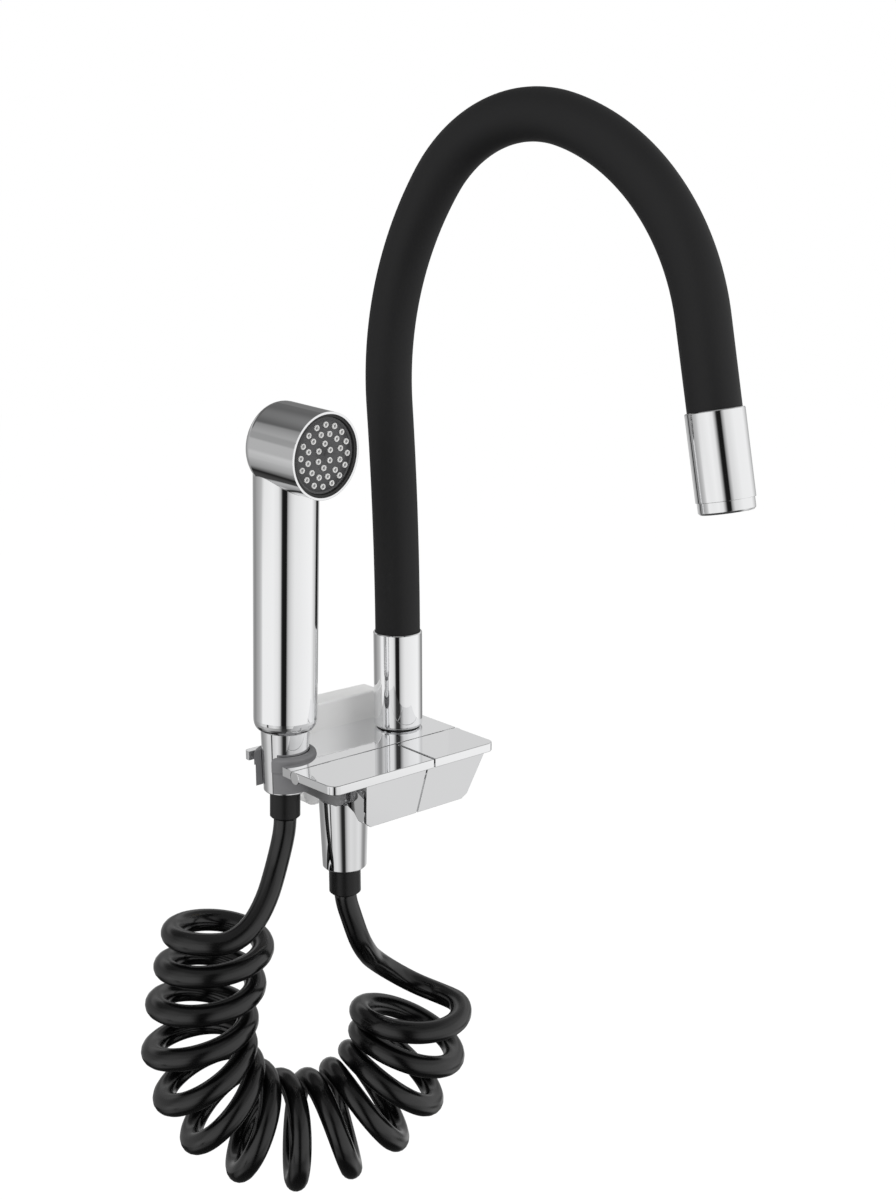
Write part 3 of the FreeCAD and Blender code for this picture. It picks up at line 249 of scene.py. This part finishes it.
def spline_line(route, steps):
    """Points along the NURBS spline whose control points are the route's, in millimetres."""
    curve = bpy.data.curves.new("hose_spline", "CURVE")
    curve.dimensions = "3D"
    curve.resolution_u = steps
    spline = curve.splines.new("NURBS")
    spline.points.add(len(route) - 1)
    for point, place in zip(spline.points, route):
        point.co = (*(place * 0.001), 1.0)
    spline.order_u = 3
    spline.use_endpoint_u = True
    holder = bpy.data.objects.new("hose_spline", curve)
    scene.collection.objects.link(holder)
    bpy.context.view_layer.update()
    mesh = bpy.data.meshes.new_from_object(holder.evaluated_get(bpy.context.evaluated_depsgraph_get()))
    line = [v.co * 1000.0 for v in mesh.vertices]
    bpy.data.objects.remove(holder)
    bpy.data.meshes.remove(mesh)
    bpy.data.curves.remove(curve)
    return line


def make_curly_hose():
    line = spline_line(hose_route(), HOSE_SPLINE_STEPS)
    vertices, faces = tube_along(line, HOSE_RADIUS, HOSE_SIDES)
    hose = new_piece("coiled_hose", vertices, faces)
    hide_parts("curly_hose")
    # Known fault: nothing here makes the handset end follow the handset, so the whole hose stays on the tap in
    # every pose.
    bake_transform(hose)
    return hose


curly_hose = make_curly_hose()

# ------------------------------------------------------------------ spout sleeve
SPOUT_FOOT = Vector((19.2, -30.0, 12.0))
SPOUT_TURN = math.radians(7.7)
SPOUT_OUT = Vector((math.sin(SPOUT_TURN), -math.cos(SPOUT_TURN), 0))
SPOUT_REACH = 174.3
FERRULE_HEIGHT = 48.6
SLEEVE_RADIUS = 11.0
SLEEVE_INSERTION = 12.0
NECK_FIRST_RUN = 1.0
NECK_ARCS = ((8.348, -4.3), (0.8457, 42.3), (0.3718, 70.3), (0.5944, 60.7))
NECK_LAST_SHARE = 0.2054
SLEEVE_INSET = 0.5
SLEEVE_STEP = 2.5
SLEEVE_SIDES = 56


def neck_line(step):
    """Points down the middle of the gooseneck, from inside its foot to inside its outlet."""
    heading = 0.0
    place = Vector((0.0, FERRULE_HEIGHT - SLEEVE_INSERTION + SLEEVE_INSET))
    flat = [place.copy()]

    def advance(length, turn):
        nonlocal place, heading
        pieces = max(2, int(round(length / step)))
        for _ in range(pieces):
            bend = turn / pieces
            chord = length / pieces
            if abs(bend) > 1e-9:
                chord = 2 * math.sin(bend / 2) * (length / turn)
            heading += bend / 2
            place = place + Vector((math.sin(heading), math.cos(heading))) * chord
            heading += bend / 2
            flat.append(place.copy())

    advance(NECK_FIRST_RUN + SLEEVE_INSERTION - SLEEVE_INSET, 0.0)
    for share, degrees in NECK_ARCS:
        turn = math.radians(degrees)
        advance(share * SPOUT_REACH * abs(turn), turn)
    advance(NECK_LAST_SHARE * SPOUT_REACH, 0.0)
    advance(SLEEVE_INSERTION - SLEEVE_INSET, 0.0)
    return [SPOUT_FOOT + SPOUT_OUT * p.x + Vector((0, 0, p.y)) for p in flat]


def make_sleeve():
    vertices, faces = tube_along(neck_line(SLEEVE_STEP), SLEEVE_RADIUS, SLEEVE_SIDES)
    sleeve = new_piece("silicone_sleeve", vertices, faces)
    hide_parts("spout_sleeve")
    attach(sleeve, "spout")
    return sleeve


spout_sleeve = make_sleeve()

# ------------------------------------------------------------------ hand spray face and nozzles
HEAD_FRONT = 26.2
FACE_RECESS = 1.6
FACE_PLACE = HEAD_FRONT - FACE_RECESS
FACE_RADIUS = 17.3
FACE_DEPTH = 1.5
FACE_MIDDLE = 0.05
# Outline of the face plate as (radius, height): middle, edge, rounded rim, fine groove, middle.
FACE_OUTLINE = ((FACE_MIDDLE, -FACE_DEPTH), (FACE_RADIUS, -FACE_DEPTH), (FACE_RADIUS, -0.25),
                (FACE_RADIUS - 0.07, -0.07), (FACE_RADIUS - 0.25, 0.0), (16.35, 0.0), (16.25, -0.14),
                (16.0, -0.14), (15.9, 0.0), (8.0, 0.0), (FACE_MIDDLE, 0.0))
FACE_SIDES = 96
# Outlines of one nozzle as (radius, height): its white rim, then the hollow with a fine bore, whose grey colour
# is painted shade in the recess.
NOZZLE_RIM = ((1.34, -1.2), (1.34, 0.1), (1.38, 0.3), (1.34, 0.55), (1.22, 0.72), (1.08, 0.78), (0.94, 0.74),
              (0.84, 0.62))
NOZZLE_HOLLOW = ((0.78, 0.42), (0.62, 0.36), (0.48, 0.42), (0.36, 0.44), (0.30, 0.36), (0.30, -1.2))
NOZZLE_SIDES = 24
# Rings of nozzles as (how many, radius, degrees of the first one).
NOZZLE_RINGS = ((16, 13.8, 90), (12, 9.8, 15))
NOZZLE_CENTRE = [(0.0, 5.4), (0.0, -5.4), (3.4, 2.3), (3.4, -2.3), (-3.4, 2.3), (-3.4, -2.3)]


def nozzle_places():
    """Two rings and a close group of six at the middle, turned so that the pattern stands upright."""
    upright = []
    for count, radius, first in NOZZLE_RINGS:
        for index in range(count):
            angle = math.radians(first + 360.0 / count * index)
            upright.append((radius * math.cos(angle), radius * math.sin(angle)))
    upright += NOZZLE_CENTRE
    c = math.cos(HEAD_TURN)
    s = math.sin(HEAD_TURN)
    return [(x * c - y * s, x * s + y * c) for x, y in upright]


def head_frame():
    return frame_on(HANDSET_TOP, HEAD_FACING)


def make_spray_face():
    """Dark face plate with a rounded rim and a fine groove round the nozzles."""
    plate, faces = lathe(FACE_OUTLINE, FACE_SIDES)
    place_head = head_frame()
    vertices = [place_head @ (v + Vector((0, 0, FACE_PLACE))) for v in plate]
    face = new_piece("spray_face_plate", vertices, faces)
    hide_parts("spray_face")
    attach(face, "handset")
    return face


spray_face = make_spray_face()


def make_nozzles():
    """Soft nozzles: a white rim round a hollow with a fine bore; the hollow is coloured grey as painted shade.
    """
    stem, stem_faces = lathe(NOZZLE_RIM + NOZZLE_HOLLOW, NOZZLE_SIDES)
    vertices = []
    faces = []
    place_head = head_frame()
    for x, y in nozzle_places():
        first = len(vertices)
        vertices += [place_head @ (v + Vector((x, y, FACE_PLACE))) for v in stem]
        faces += [tuple(first + i for i in face) for face in stem_faces]
    nozzles = new_piece("soft_nozzles", vertices, faces)
    segments = len(NOZZLE_RIM) + len(NOZZLE_HOLLOW)
    # The hollow's faces take the second material, grey as painted shade in the recess.
    for index, polygon in enumerate(nozzles.data.polygons):
        polygon.material_index = 1 if len(NOZZLE_RIM) <= index % segments < segments - 1 else 0
    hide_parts("spray_nozzles")
    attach(nozzles, "handset")
    return nozzles


nozzles = make_nozzles()

# ------------------------------------------------------------------ inlet thread
THREAD_PITCH = 1.814
THREAD_CREST = 10.47
THREAD_ROOT = 9.35
THREAD_WORN = 0.15
THREAD_START = 0.3
THREAD_END = 13.2
THREAD_RUN_IN = 1.2
THREAD_RUN_OUT = 0.9
THREAD_FLAT = 0.12
THREAD_FLANK = 0.76
THREAD_STEPS = 96
INLET_SIDES = 72
# Rings as (radius, y): the neck in the flange up to the thread, then the lip, mouth, bore and spigot.
INLET_NECK = ((9.6, -12.0), (9.6, 0.0), (9.9, 0.1))
INLET_LIP = ((9.3, 13.9), (8.9, 14.0), (7.6, 14.0), (7.4, 13.8), (7.4, 11.0), (5.4, 11.0), (5.4, -18.0),
             (7.2, -18.0), (7.2, -12.0))


def thread_radius(y, turn):
    """Radius of the thread at y, a share of a turn round it; it fades out at both ends."""
    phase = ((y - THREAD_START) / THREAD_PITCH - turn) % 1.0
    depth = min(1.0, max(0.0, (abs(2 * phase - 1) - THREAD_FLAT) / THREAD_FLANK))
    fade = min(1.0, (y - THREAD_START) / THREAD_RUN_IN, (THREAD_END - y) / THREAD_RUN_OUT)
    if fade >= 1.0:
        return THREAD_CREST - (THREAD_CREST - THREAD_ROOT) * depth
    crest = THREAD_CREST - THREAD_WORN
    return crest - (crest - THREAD_ROOT) * depth * max(0.0, fade)


def make_inlet():
    """Threaded inlet: pipe thread to the row's outer size, neck in the flange, spigot in the body."""
    vertices = []

    def ring_at(y, radius_at):
        ring = []
        for k in range(INLET_SIDES):
            angle = 2 * math.pi * k / INLET_SIDES
            radius = radius_at(k / INLET_SIDES)
            ring.append(len(vertices))
            vertices.append(Vector((radius * math.cos(angle), y, radius * math.sin(angle))))
        return ring

    rings = []
    for i in range(THREAD_STEPS + 1):
        y = THREAD_START + (THREAD_END - THREAD_START) * i / THREAD_STEPS
        rings.append(ring_at(y, lambda turn: thread_radius(y, turn)))
    outer = [ring_at(y, lambda turn: radius) for radius, y in INLET_NECK]
    front = [ring_at(y, lambda turn: radius) for radius, y in INLET_LIP]
    chain = outer + rings + front
    faces = []
    for a, b in zip(chain, chain[1:] + chain[:1]):
        for k in range(INLET_SIDES):
            n = (k + 1) % INLET_SIDES
            faces.append((a[k], b[k], b[n], a[n]))
    inlet = new_piece("threaded_inlet", vertices, faces)
    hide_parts("inlet_shank")
    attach(inlet, "tap_body")
    return inlet


inlet = make_inlet()


# ------------------------------------------------------------------ finishes
def socket_in(group, name, kind, default):
    made = group.interface.new_socket(name=name, in_out="INPUT", socket_type=kind)
    made.default_value = default


def socket_out(group, name, kind):
    group.interface.new_socket(name=name, in_out="OUTPUT", socket_type=kind)


def make_surface_drift():
    """Slow change over a surface, as polishing and moulding leave: value about 0 to 1 and fine height."""
    group = bpy.data.node_groups.new("surface_drift", "ShaderNodeTree")
    socket_in(group, "Patch Scale", "NodeSocketFloat", 40.0)
    socket_in(group, "Grain Scale", "NodeSocketFloat", 900.0)
    socket_in(group, "Low", "NodeSocketFloat", 0.03)
    socket_in(group, "High", "NodeSocketFloat", 0.09)
    socket_out(group, "Roughness", "NodeSocketFloat")
    socket_out(group, "Patch", "NodeSocketFloat")
    socket_out(group, "Grain", "NodeSocketFloat")
    n = group.nodes
    l = group.links
    entry = n.new("NodeGroupInput")
    leave = n.new("NodeGroupOutput")
    place = n.new("ShaderNodeTexCoord")
    patch = n.new("ShaderNodeTexNoise")
    patch.inputs["Detail"].default_value = 3.0
    grain = n.new("ShaderNodeTexNoise")
    grain.inputs["Detail"].default_value = 2.0
    spread = n.new("ShaderNodeMapRange")
    spread.inputs["From Min"].default_value = 0.3
    spread.inputs["From Max"].default_value = 0.7
    l.new(place.outputs["Object"], patch.inputs["Vector"])
    l.new(place.outputs["Object"], grain.inputs["Vector"])
    l.new(entry.outputs["Patch Scale"], patch.inputs["Scale"])
    l.new(entry.outputs["Grain Scale"], grain.inputs["Scale"])
    l.new(patch.outputs["Fac"], spread.inputs["Value"])
    l.new(entry.outputs["Low"], spread.inputs["To Min"])
    l.new(entry.outputs["High"], spread.inputs["To Max"])
    l.new(spread.outputs["Result"], leave.inputs["Roughness"])
    l.new(patch.outputs["Fac"], leave.inputs["Patch"])
    l.new(grain.outputs["Fac"], leave.inputs["Grain"])
    return group


surface_drift = make_surface_drift()


def make_soft_edges():
    """Rounded-over look for sharp edges: the normal bends within the given width of an edge."""
    group = bpy.data.node_groups.new("soft_edges", "ShaderNodeTree")
    socket_in(group, "Width", "NodeSocketFloat", 0.0003)
    socket_out(group, "Normal", "NodeSocketVector")
    n = group.nodes
    l = group.links
    entry = n.new("NodeGroupInput")
    leave = n.new("NodeGroupOutput")
    bevel = n.new("ShaderNodeBevel")
    bevel.samples = 6
    l.new(entry.outputs["Width"], bevel.inputs["Radius"])
    l.new(bevel.outputs["Normal"], leave.inputs["Normal"])
    return group


soft_edges = make_soft_edges()


def finish(name, base, metallic=0.0, low=0.3, high=0.4, patch=40.0, grain=900.0, tone=0.06, bump=0.1,
           bump_depth=0.0001, specular=0.5, edge=0.0):
    """A material: base colour drifting by tone, roughness from low to high, fine grain in the normal."""
    material = bpy.data.materials.new(name)
    material.use_nodes = True
    n = material.node_tree.nodes
    l = material.node_tree.links
    shader = n["Principled BSDF"]
    drift = n.new("ShaderNodeGroup")
    drift.node_tree = surface_drift
    drift.inputs["Patch Scale"].default_value = patch
    drift.inputs["Grain Scale"].default_value = grain
    drift.inputs["Low"].default_value = low
    drift.inputs["High"].default_value = high
    colour = n.new("ShaderNodeMix")
    colour.data_type = "RGBA"
    colour.inputs["A"].default_value = tuple(c * (1 - tone) for c in base) + (1.0,)
    colour.inputs["B"].default_value = tuple(min(1.0, c * (1 + tone)) for c in base) + (1.0,)
    l.new(drift.outputs["Patch"], colour.inputs["Factor"])
    l.new(colour.outputs["Result"], shader.inputs["Base Color"])
    l.new(drift.outputs["Roughness"], shader.inputs["Roughness"])
    relief = n.new("ShaderNodeBump")
    relief.inputs["Strength"].default_value = bump
    relief.inputs["Distance"].default_value = bump_depth
    l.new(drift.outputs["Grain"], relief.inputs["Height"])
    if edge > 0.0:
        rounding = n.new("ShaderNodeGroup")
        rounding.node_tree = soft_edges
        rounding.inputs["Width"].default_value = edge
        l.new(rounding.outputs["Normal"], relief.inputs["Normal"])
    l.new(relief.outputs["Normal"], shader.inputs["Normal"])
    shader.inputs["Metallic"].default_value = metallic
    shader.inputs["Specular IOR Level"].default_value = specular
    return material


chrome = finish("polished_chrome", (0.90, 0.903, 0.91), metallic=1.0, low=0.012, high=0.04, patch=18.0,
                grain=150.0, tone=0.015, bump=0.01, bump_depth=0.00002, edge=0.0003)
satin_chrome = finish("satin_chrome", (0.945, 0.945, 0.94), metallic=0.15, low=0.42, high=0.50, patch=30.0,
                      grain=1600.0, tone=0.03, bump=0.05, bump_depth=0.00002)
cast_satin = finish("cast_satin", (0.34, 0.34, 0.345), metallic=0.55, low=0.40, high=0.52, patch=60.0,
                    grain=1800.0, tone=0.06, bump=0.12, bump_depth=0.00003)
satin_steel = finish("satin_steel", (0.60, 0.59, 0.58), metallic=1.0, low=0.22, high=0.36, grain=1500.0)
raw_brass = finish("machined_brass", (0.78, 0.60, 0.30), metallic=1.0, low=0.16, high=0.30, grain=1200.0)
silicone = finish("black_silicone", (0.0098, 0.0098, 0.0102), low=0.52, high=0.62, patch=25.0, grain=2600.0,
                  tone=0.18, bump=0.25, bump_depth=0.00004, specular=0.25)
hose_plastic = finish("hose_black", (0.0012, 0.0012, 0.0013), low=0.17, high=0.23, patch=60.0, grain=1800.0,
                      tone=0.2, bump=0.05, bump_depth=0.00003, specular=0.62)
crimp_black = finish("crimp_black", (0.005, 0.005, 0.0052), low=0.28, high=0.4, patch=80.0, grain=1800.0,
                     tone=0.2, bump=0.12, bump_depth=0.00004, specular=0.35, edge=0.0003)
seal_rubber = finish("seal_rubber", (0.018, 0.018, 0.018), low=0.5, high=0.7, grain=1600.0)
clip_plastic = finish("clip_grey", (0.15, 0.15, 0.155), low=0.42, high=0.52, grain=2200.0, tone=0.08,
                      bump=0.2, bump_depth=0.00004)
face_plastic = finish("spray_face_grey", (0.06, 0.06, 0.062), low=0.38, high=0.5, grain=2400.0, tone=0.1)
nozzle_rubber = finish("nozzle_white", (0.66, 0.66, 0.65), low=0.4, high=0.55, grain=1500.0)
# Grey for the nozzle hollows: painted shade in the recess of the white rubber.
nozzle_hollow = finish("nozzle_hollow_painted_shade", (0.30, 0.30, 0.30), low=0.5, high=0.6, grain=1500.0)
valve_plastic = finish("white_acetal", (0.74, 0.73, 0.70), low=0.35, high=0.5, grain=1500.0)

NODE_FINISH = {
    chrome: ("rear_deck", "spray_lever", "spout_lever", "hose_outlet", "base_ferrule",
             "outlet_ferrule", "handset_shell"),
    satin_chrome: ("wall_flange",),
    cast_satin: ("body_casting",),
    raw_brass: ("spout_seat", "spray_valve_cartridge", "spout_valve_cartridge"),
    satin_steel: ("inlet_filter", "deck_screws", "hinge_pin", "spout_keeper_screw", "clip_screws",
                  "neck_core", "spray_valve_plunger", "spout_valve_plunger", "spray_drive_pin",
                  "spout_drive_pin"),
    seal_rubber: ("deck_gasket", "spray_valve_seal", "spout_valve_seal", "spray_valve_washer",
                  "spout_valve_washer", "spout_o_ring", "aerator_washer", "glide_ring", "face_ring"),
    crimp_black: ("outlet_crimp", "handset_crimp"),
    valve_plastic: ("outlet_check_valve", "handset_check_valve", "neck_tube", "handset_waterway"),
    clip_plastic: ("holder_clip",),
    face_plastic: ("aerator_housing", "aerator_insert"),
}


def dress_nodes():
    for material, names in NODE_FINISH.items():
        for name in names:
            slots = nodes[name].data.materials
            slots.clear()
            slots.append(material)


dress_nodes()
curly_hose.data.materials.append(hose_plastic)
spout_sleeve.data.materials.append(silicone)
spray_face.data.materials.append(face_plastic)
nozzles.data.materials.append(nozzle_rubber)
# Second nozzle material: grey painted shade for the hollows.
nozzles.data.materials.append(nozzle_hollow)
inlet.data.materials.append(raw_brass)


# ------------------------------------------------------------------ studio
TOWARDS_CAMERA = Vector((-0.651, -0.759, 0.0))
CAMERA_RIGHT = Vector((0.759, -0.651, 0.0))


def ramp_between(n, stops):
    """Colour ramp over -180 to 180 degrees of azimuth; stops are (degrees, grey)."""
    ramp = n.new("ShaderNodeValToRGB")
    elements = ramp.color_ramp.elements
    while len(elements) > 1:
        elements.remove(elements[-1])
    elements[0].position = (stops[0][0] + 180.0) / 360.0
    elements[0].color = (stops[0][1],) * 3 + (1.0,)
    for degrees, grey in stops[1:]:
        element = elements.new((degrees + 180.0) / 360.0)
        element.color = (grey,) * 3 + (1.0,)
    return ramp


# The boards that polished metal mirrors, in rows: (degrees from the camera's side, right is plus; grey).
# From below to above: the dark floor, UNDER, DEEP, LOW, LEVEL, UPPER, HIGH, and the grey ceiling.
LOW_BOARDS = ((-180, 0.55), (-160, 0.58), (-150, 0.42), (-140, 0.29), (-125, 0.27), (-115, 0.36),
              (-105, 0.42), (-95, 0.52), (-88, 0.66), (-82, 0.92), (-40, 0.93), (-22, 0.84), (-13, 0.62),
              (-9, 0.04), (-5, 0.01), (8, 0.01), (10, 0.34), (16, 0.60), (26, 0.76), (36, 0.86),
              (70, 0.92), (107, 0.97), (117, 0.82), (127, 0.60), (137, 0.38), (147, 0.18), (157, 0.28),
              (167, 0.46))
DEEP_BOARDS = ((-180, 0.38), (-150, 0.30), (-125, 0.26), (-108, 0.32), (-95, 0.50), (-88, 0.64),
               (-67, 0.72), (-65, 0.06), (-60, 0.03), (-58, 0.64), (-34, 0.78), (-20, 0.56), (-9, 0.10),
               (-5, 0.02), (8, 0.02), (11, 0.30), (23, 0.64), (37, 0.76), (60, 0.70), (80, 0.80),
               (95, 0.70), (108, 0.36), (122, 0.26), (136, 0.40), (150, 0.66), (180, 0.60))
LEVEL_BOARDS = ((-180, 0.28), (-130, 0.30), (-104, 0.43), (-88, 0.47), (-74, 0.82), (-40, 0.93),
                (-22, 0.84), (-12, 0.30), (-8, 0.04), (-5, 0.01), (8, 0.01), (12, 0.30), (24, 0.74),
                (60, 0.92), (110, 0.94), (140, 0.56), (160, 0.34))
UPPER_BOARDS = ((-180, 0.70), (-130, 0.60), (-104, 0.34), (-90, 0.33), (-74, 0.62), (-40, 0.88),
                (-22, 0.80), (-12, 0.28), (-7, 0.04), (9, 0.03), (15, 0.30), (28, 0.70), (60, 0.88),
                (110, 0.94), (140, 0.66), (160, 0.68))
HIGH_BOARDS = ((-180, 0.24), (-170, 0.14), (-150, 0.12), (-106, 0.12), (-103, 0.26), (-90, 0.42),
               (-70, 0.66), (-45, 0.60), (-22, 0.46), (-12, 0.16), (-7, 0.03), (9, 0.02), (16, 0.16),
               (28, 0.46), (60, 0.60), (120, 0.62), (150, 0.34))
UNDER_BOARDS = ((-180, 0.14), (-150, 0.08), (-127, 0.05), (-119, 0.01), (-113, 0.18), (-100, 0.26),
                (-84, 0.50), (-60, 0.46), (-20, 0.30), (-9, 0.04), (9, 0.03), (22, 0.26), (60, 0.50),
                (78, 0.72), (115, 0.72), (150, 0.24))
# Each row with the heights, as the sine of the elevation, between which it takes over from the row below.
BOARD_ROWS = ((UNDER_BOARDS, -0.86, -0.72), (DEEP_BOARDS, -0.55, -0.50), (LOW_BOARDS, -0.37, -0.33),
              (LEVEL_BOARDS, -0.20, -0.08), (UPPER_BOARDS, 0.19, 0.26), (HIGH_BOARDS, 0.38, 0.46))
FLOOR_DARK = 0.05
CEILING_GREY = 0.26
CEILING_FROM = 0.66
CEILING_FULL = 0.84
MATT_GREY = (0.80, 0.80, 0.80, 1.0)


def make_world():
    """White for the camera, soft grey for matt surfaces, and black-and-white studio boards for gloss."""
    world = bpy.data.worlds.new("studio")
    scene.world = world
    world.use_nodes = True
    n = world.node_tree.nodes
    l = world.node_tree.links
    n.clear()
    place = n.new("ShaderNodeTexCoord")

    def dot_with(direction):
        dot = n.new("ShaderNodeVectorMath")
        dot.operation = "DOT_PRODUCT"
        dot.inputs[1].default_value = direction
        l.new(place.outputs["Generated"], dot.inputs[0])
        return dot.outputs["Value"]

    def maths(kind, a, b):
        node = n.new("ShaderNodeMath")
        node.operation = kind
        for socket, value in zip(node.inputs, (a, b)):
            if isinstance(value, float):
                socket.default_value = value
            else:
                l.new(value, socket)
        return node.outputs[0]

    azimuth = maths("ARCTAN2", dot_with(CAMERA_RIGHT), dot_with(TOWARDS_CAMERA))
    turn = maths("ADD", maths("DIVIDE", azimuth, 2 * math.pi), 0.5)
    height = dot_with((0, 0, 1))

    def step(value, start, end):
        node = n.new("ShaderNodeMapRange")
        node.interpolation_type = "SMOOTHSTEP"
        node.inputs["From Min"].default_value = start
        node.inputs["From Max"].default_value = end
        l.new(value, node.inputs["Value"])
        return node.outputs["Result"]

    def blended(share, a, b):
        node = n.new("ShaderNodeMix")
        node.data_type = "RGBA"
        l.new(share, node.inputs["Factor"])
        for socket, value in ((node.inputs["A"], a), (node.inputs["B"], b)):
            if isinstance(value, float):
                socket.default_value = (value, value, value, 1.0)
            else:
                l.new(value, socket)
        return node.outputs["Result"]

    boards = FLOOR_DARK
    for row, start, end in BOARD_ROWS:
        ramp = ramp_between(n, row)
        l.new(turn, ramp.inputs["Fac"])
        boards = blended(step(height, start, end), boards, ramp.outputs["Color"])
    boards = blended(step(height, CEILING_FROM, CEILING_FULL), boards, CEILING_GREY)
    path = n.new("ShaderNodeLightPath")
    soft = n.new("ShaderNodeBackground")
    soft.inputs["Color"].default_value = MATT_GREY
    gloss = n.new("ShaderNodeBackground")
    l.new(boards, gloss.inputs["Color"])
    white = n.new("ShaderNodeBackground")
    white.inputs["Color"].default_value = (1.0, 1.0, 1.0, 1.0)
    first = n.new("ShaderNodeMixShader")
    second = n.new("ShaderNodeMixShader")
    out = n.new("ShaderNodeOutputWorld")
    mirrored = maths("MAXIMUM", path.outputs["Is Glossy Ray"], path.outputs["Is Transmission Ray"])
    l.new(mirrored, first.inputs["Fac"])
    l.new(soft.outputs["Background"], first.inputs[1])
    l.new(gloss.outputs["Background"], first.inputs[2])
    l.new(path.outputs["Is Camera Ray"], second.inputs["Fac"])
    l.new(first.outputs["Shader"], second.inputs[1])
    l.new(white.outputs["Background"], second.inputs[2])
    l.new(second.outputs["Shader"], out.inputs["Surface"])


make_world()

FLOOR_HALF = 6.0
FLOOR_HEIGHT = -0.5
FLOOR_GREY = (0.9, 0.9, 0.9, 1.0)
FLOOR_GLOW = 1.08
FLOOR_GLOW_SHARE = 0.78


def make_floor():
    """Pale floor well below the hanging tap; it keeps the shadow and shows white to the camera."""
    mesh = bpy.data.meshes.new("studio_floor")
    corners = []
    for x, y in ((-1, -1), (1, -1), (1, 1), (-1, 1)):
        corners.append((x * FLOOR_HALF, y * FLOOR_HALF, FLOOR_HEIGHT))
    mesh.from_pydata(corners, [], [(0, 1, 2, 3)])
    floor = bpy.data.objects.new("studio_floor", mesh)
    scene.collection.objects.link(floor)
    floor.visible_glossy = False
    floor.visible_transmission = False
    material = bpy.data.materials.new("floor_white")
    material.use_nodes = True
    n = material.node_tree.nodes
    l = material.node_tree.links
    n.clear()
    path = n.new("ShaderNodeLightPath")
    matt = n.new("ShaderNodeBsdfDiffuse")
    matt.inputs["Color"].default_value = FLOOR_GREY
    light = n.new("ShaderNodeEmission")
    light.inputs["Strength"].default_value = FLOOR_GLOW
    share = n.new("ShaderNodeMath")
    share.operation = "MULTIPLY"
    share.inputs[1].default_value = FLOOR_GLOW_SHARE
    l.new(path.outputs["Is Camera Ray"], share.inputs[0])
    mixed = n.new("ShaderNodeMixShader")
    out = n.new("ShaderNodeOutputMaterial")
    l.new(share.outputs[0], mixed.inputs["Fac"])
    l.new(matt.outputs["BSDF"], mixed.inputs[1])
    l.new(light.outputs["Emission"], mixed.inputs[2])
    l.new(mixed.outputs["Shader"], out.inputs["Surface"])
    mesh.materials.append(material)


make_floor()

CARD_BESIDE = Vector((-0.045, -0.032, 0.0))
CARD_BEHIND = 0.40
CARD_LEFT = -0.30
CARD_RIGHT = 0.13
CARD_BOTTOM = 0.225
CARD_TOP = 0.40
CARD_GREY = (0.19, 0.19, 0.19, 1.0)


def make_grey_card():
    """A grey card behind the hand spray's head, seen only in reflections."""
    away = -TOWARDS_CAMERA.normalized()
    centre = CARD_BESIDE + away * CARD_BEHIND
    side = CAMERA_RIGHT.normalized()
    corners = []
    for across, z in ((CARD_LEFT, CARD_BOTTOM), (CARD_RIGHT, CARD_BOTTOM), (CARD_RIGHT, CARD_TOP),
                      (CARD_LEFT, CARD_TOP)):
        corners.append(centre + side * across + Vector((0, 0, z)))
    mesh = bpy.data.meshes.new("grey_card")
    mesh.from_pydata([tuple(c) for c in corners], [], [(0, 1, 2, 3)])
    card = bpy.data.objects.new("grey_card", mesh)
    scene.collection.objects.link(card)
    card.visible_camera = False
    card.visible_diffuse = False
    card.visible_shadow = False
    card.visible_transmission = False
    material = bpy.data.materials.new("card_grey")
    material.use_nodes = True
    n = material.node_tree.nodes
    n.clear()
    glow = n.new("ShaderNodeEmission")
    glow.inputs["Color"].default_value = CARD_GREY
    out = n.new("ShaderNodeOutputMaterial")
    material.node_tree.links.new(glow.outputs["Emission"], out.inputs["Surface"])
    mesh.materials.append(material)


make_grey_card()


def area_light(name, place, target, size, power):
    data = bpy.data.lights.new(name, "AREA")
    data.shape = "RECTANGLE"
    data.size = size[0]
    data.size_y = size[1]
    data.energy = power
    lamp = bpy.data.objects.new(name, data)
    lamp.location = place
    lamp.rotation_euler = (Vector(place) - Vector(target)).to_track_quat("Z", "Y").to_euler()
    scene.collection.objects.link(lamp)
    lamp.visible_glossy = False
    lamp.visible_camera = False


area_light("soft_key", (-0.9, -0.5, 0.9), (0, -0.05, 0.1), (0.9, 0.9), 8.0)
area_light("soft_fill", (0.5, -1.1, 0.4), (0, -0.05, 0.05), (0.8, 1.0), 4.0)
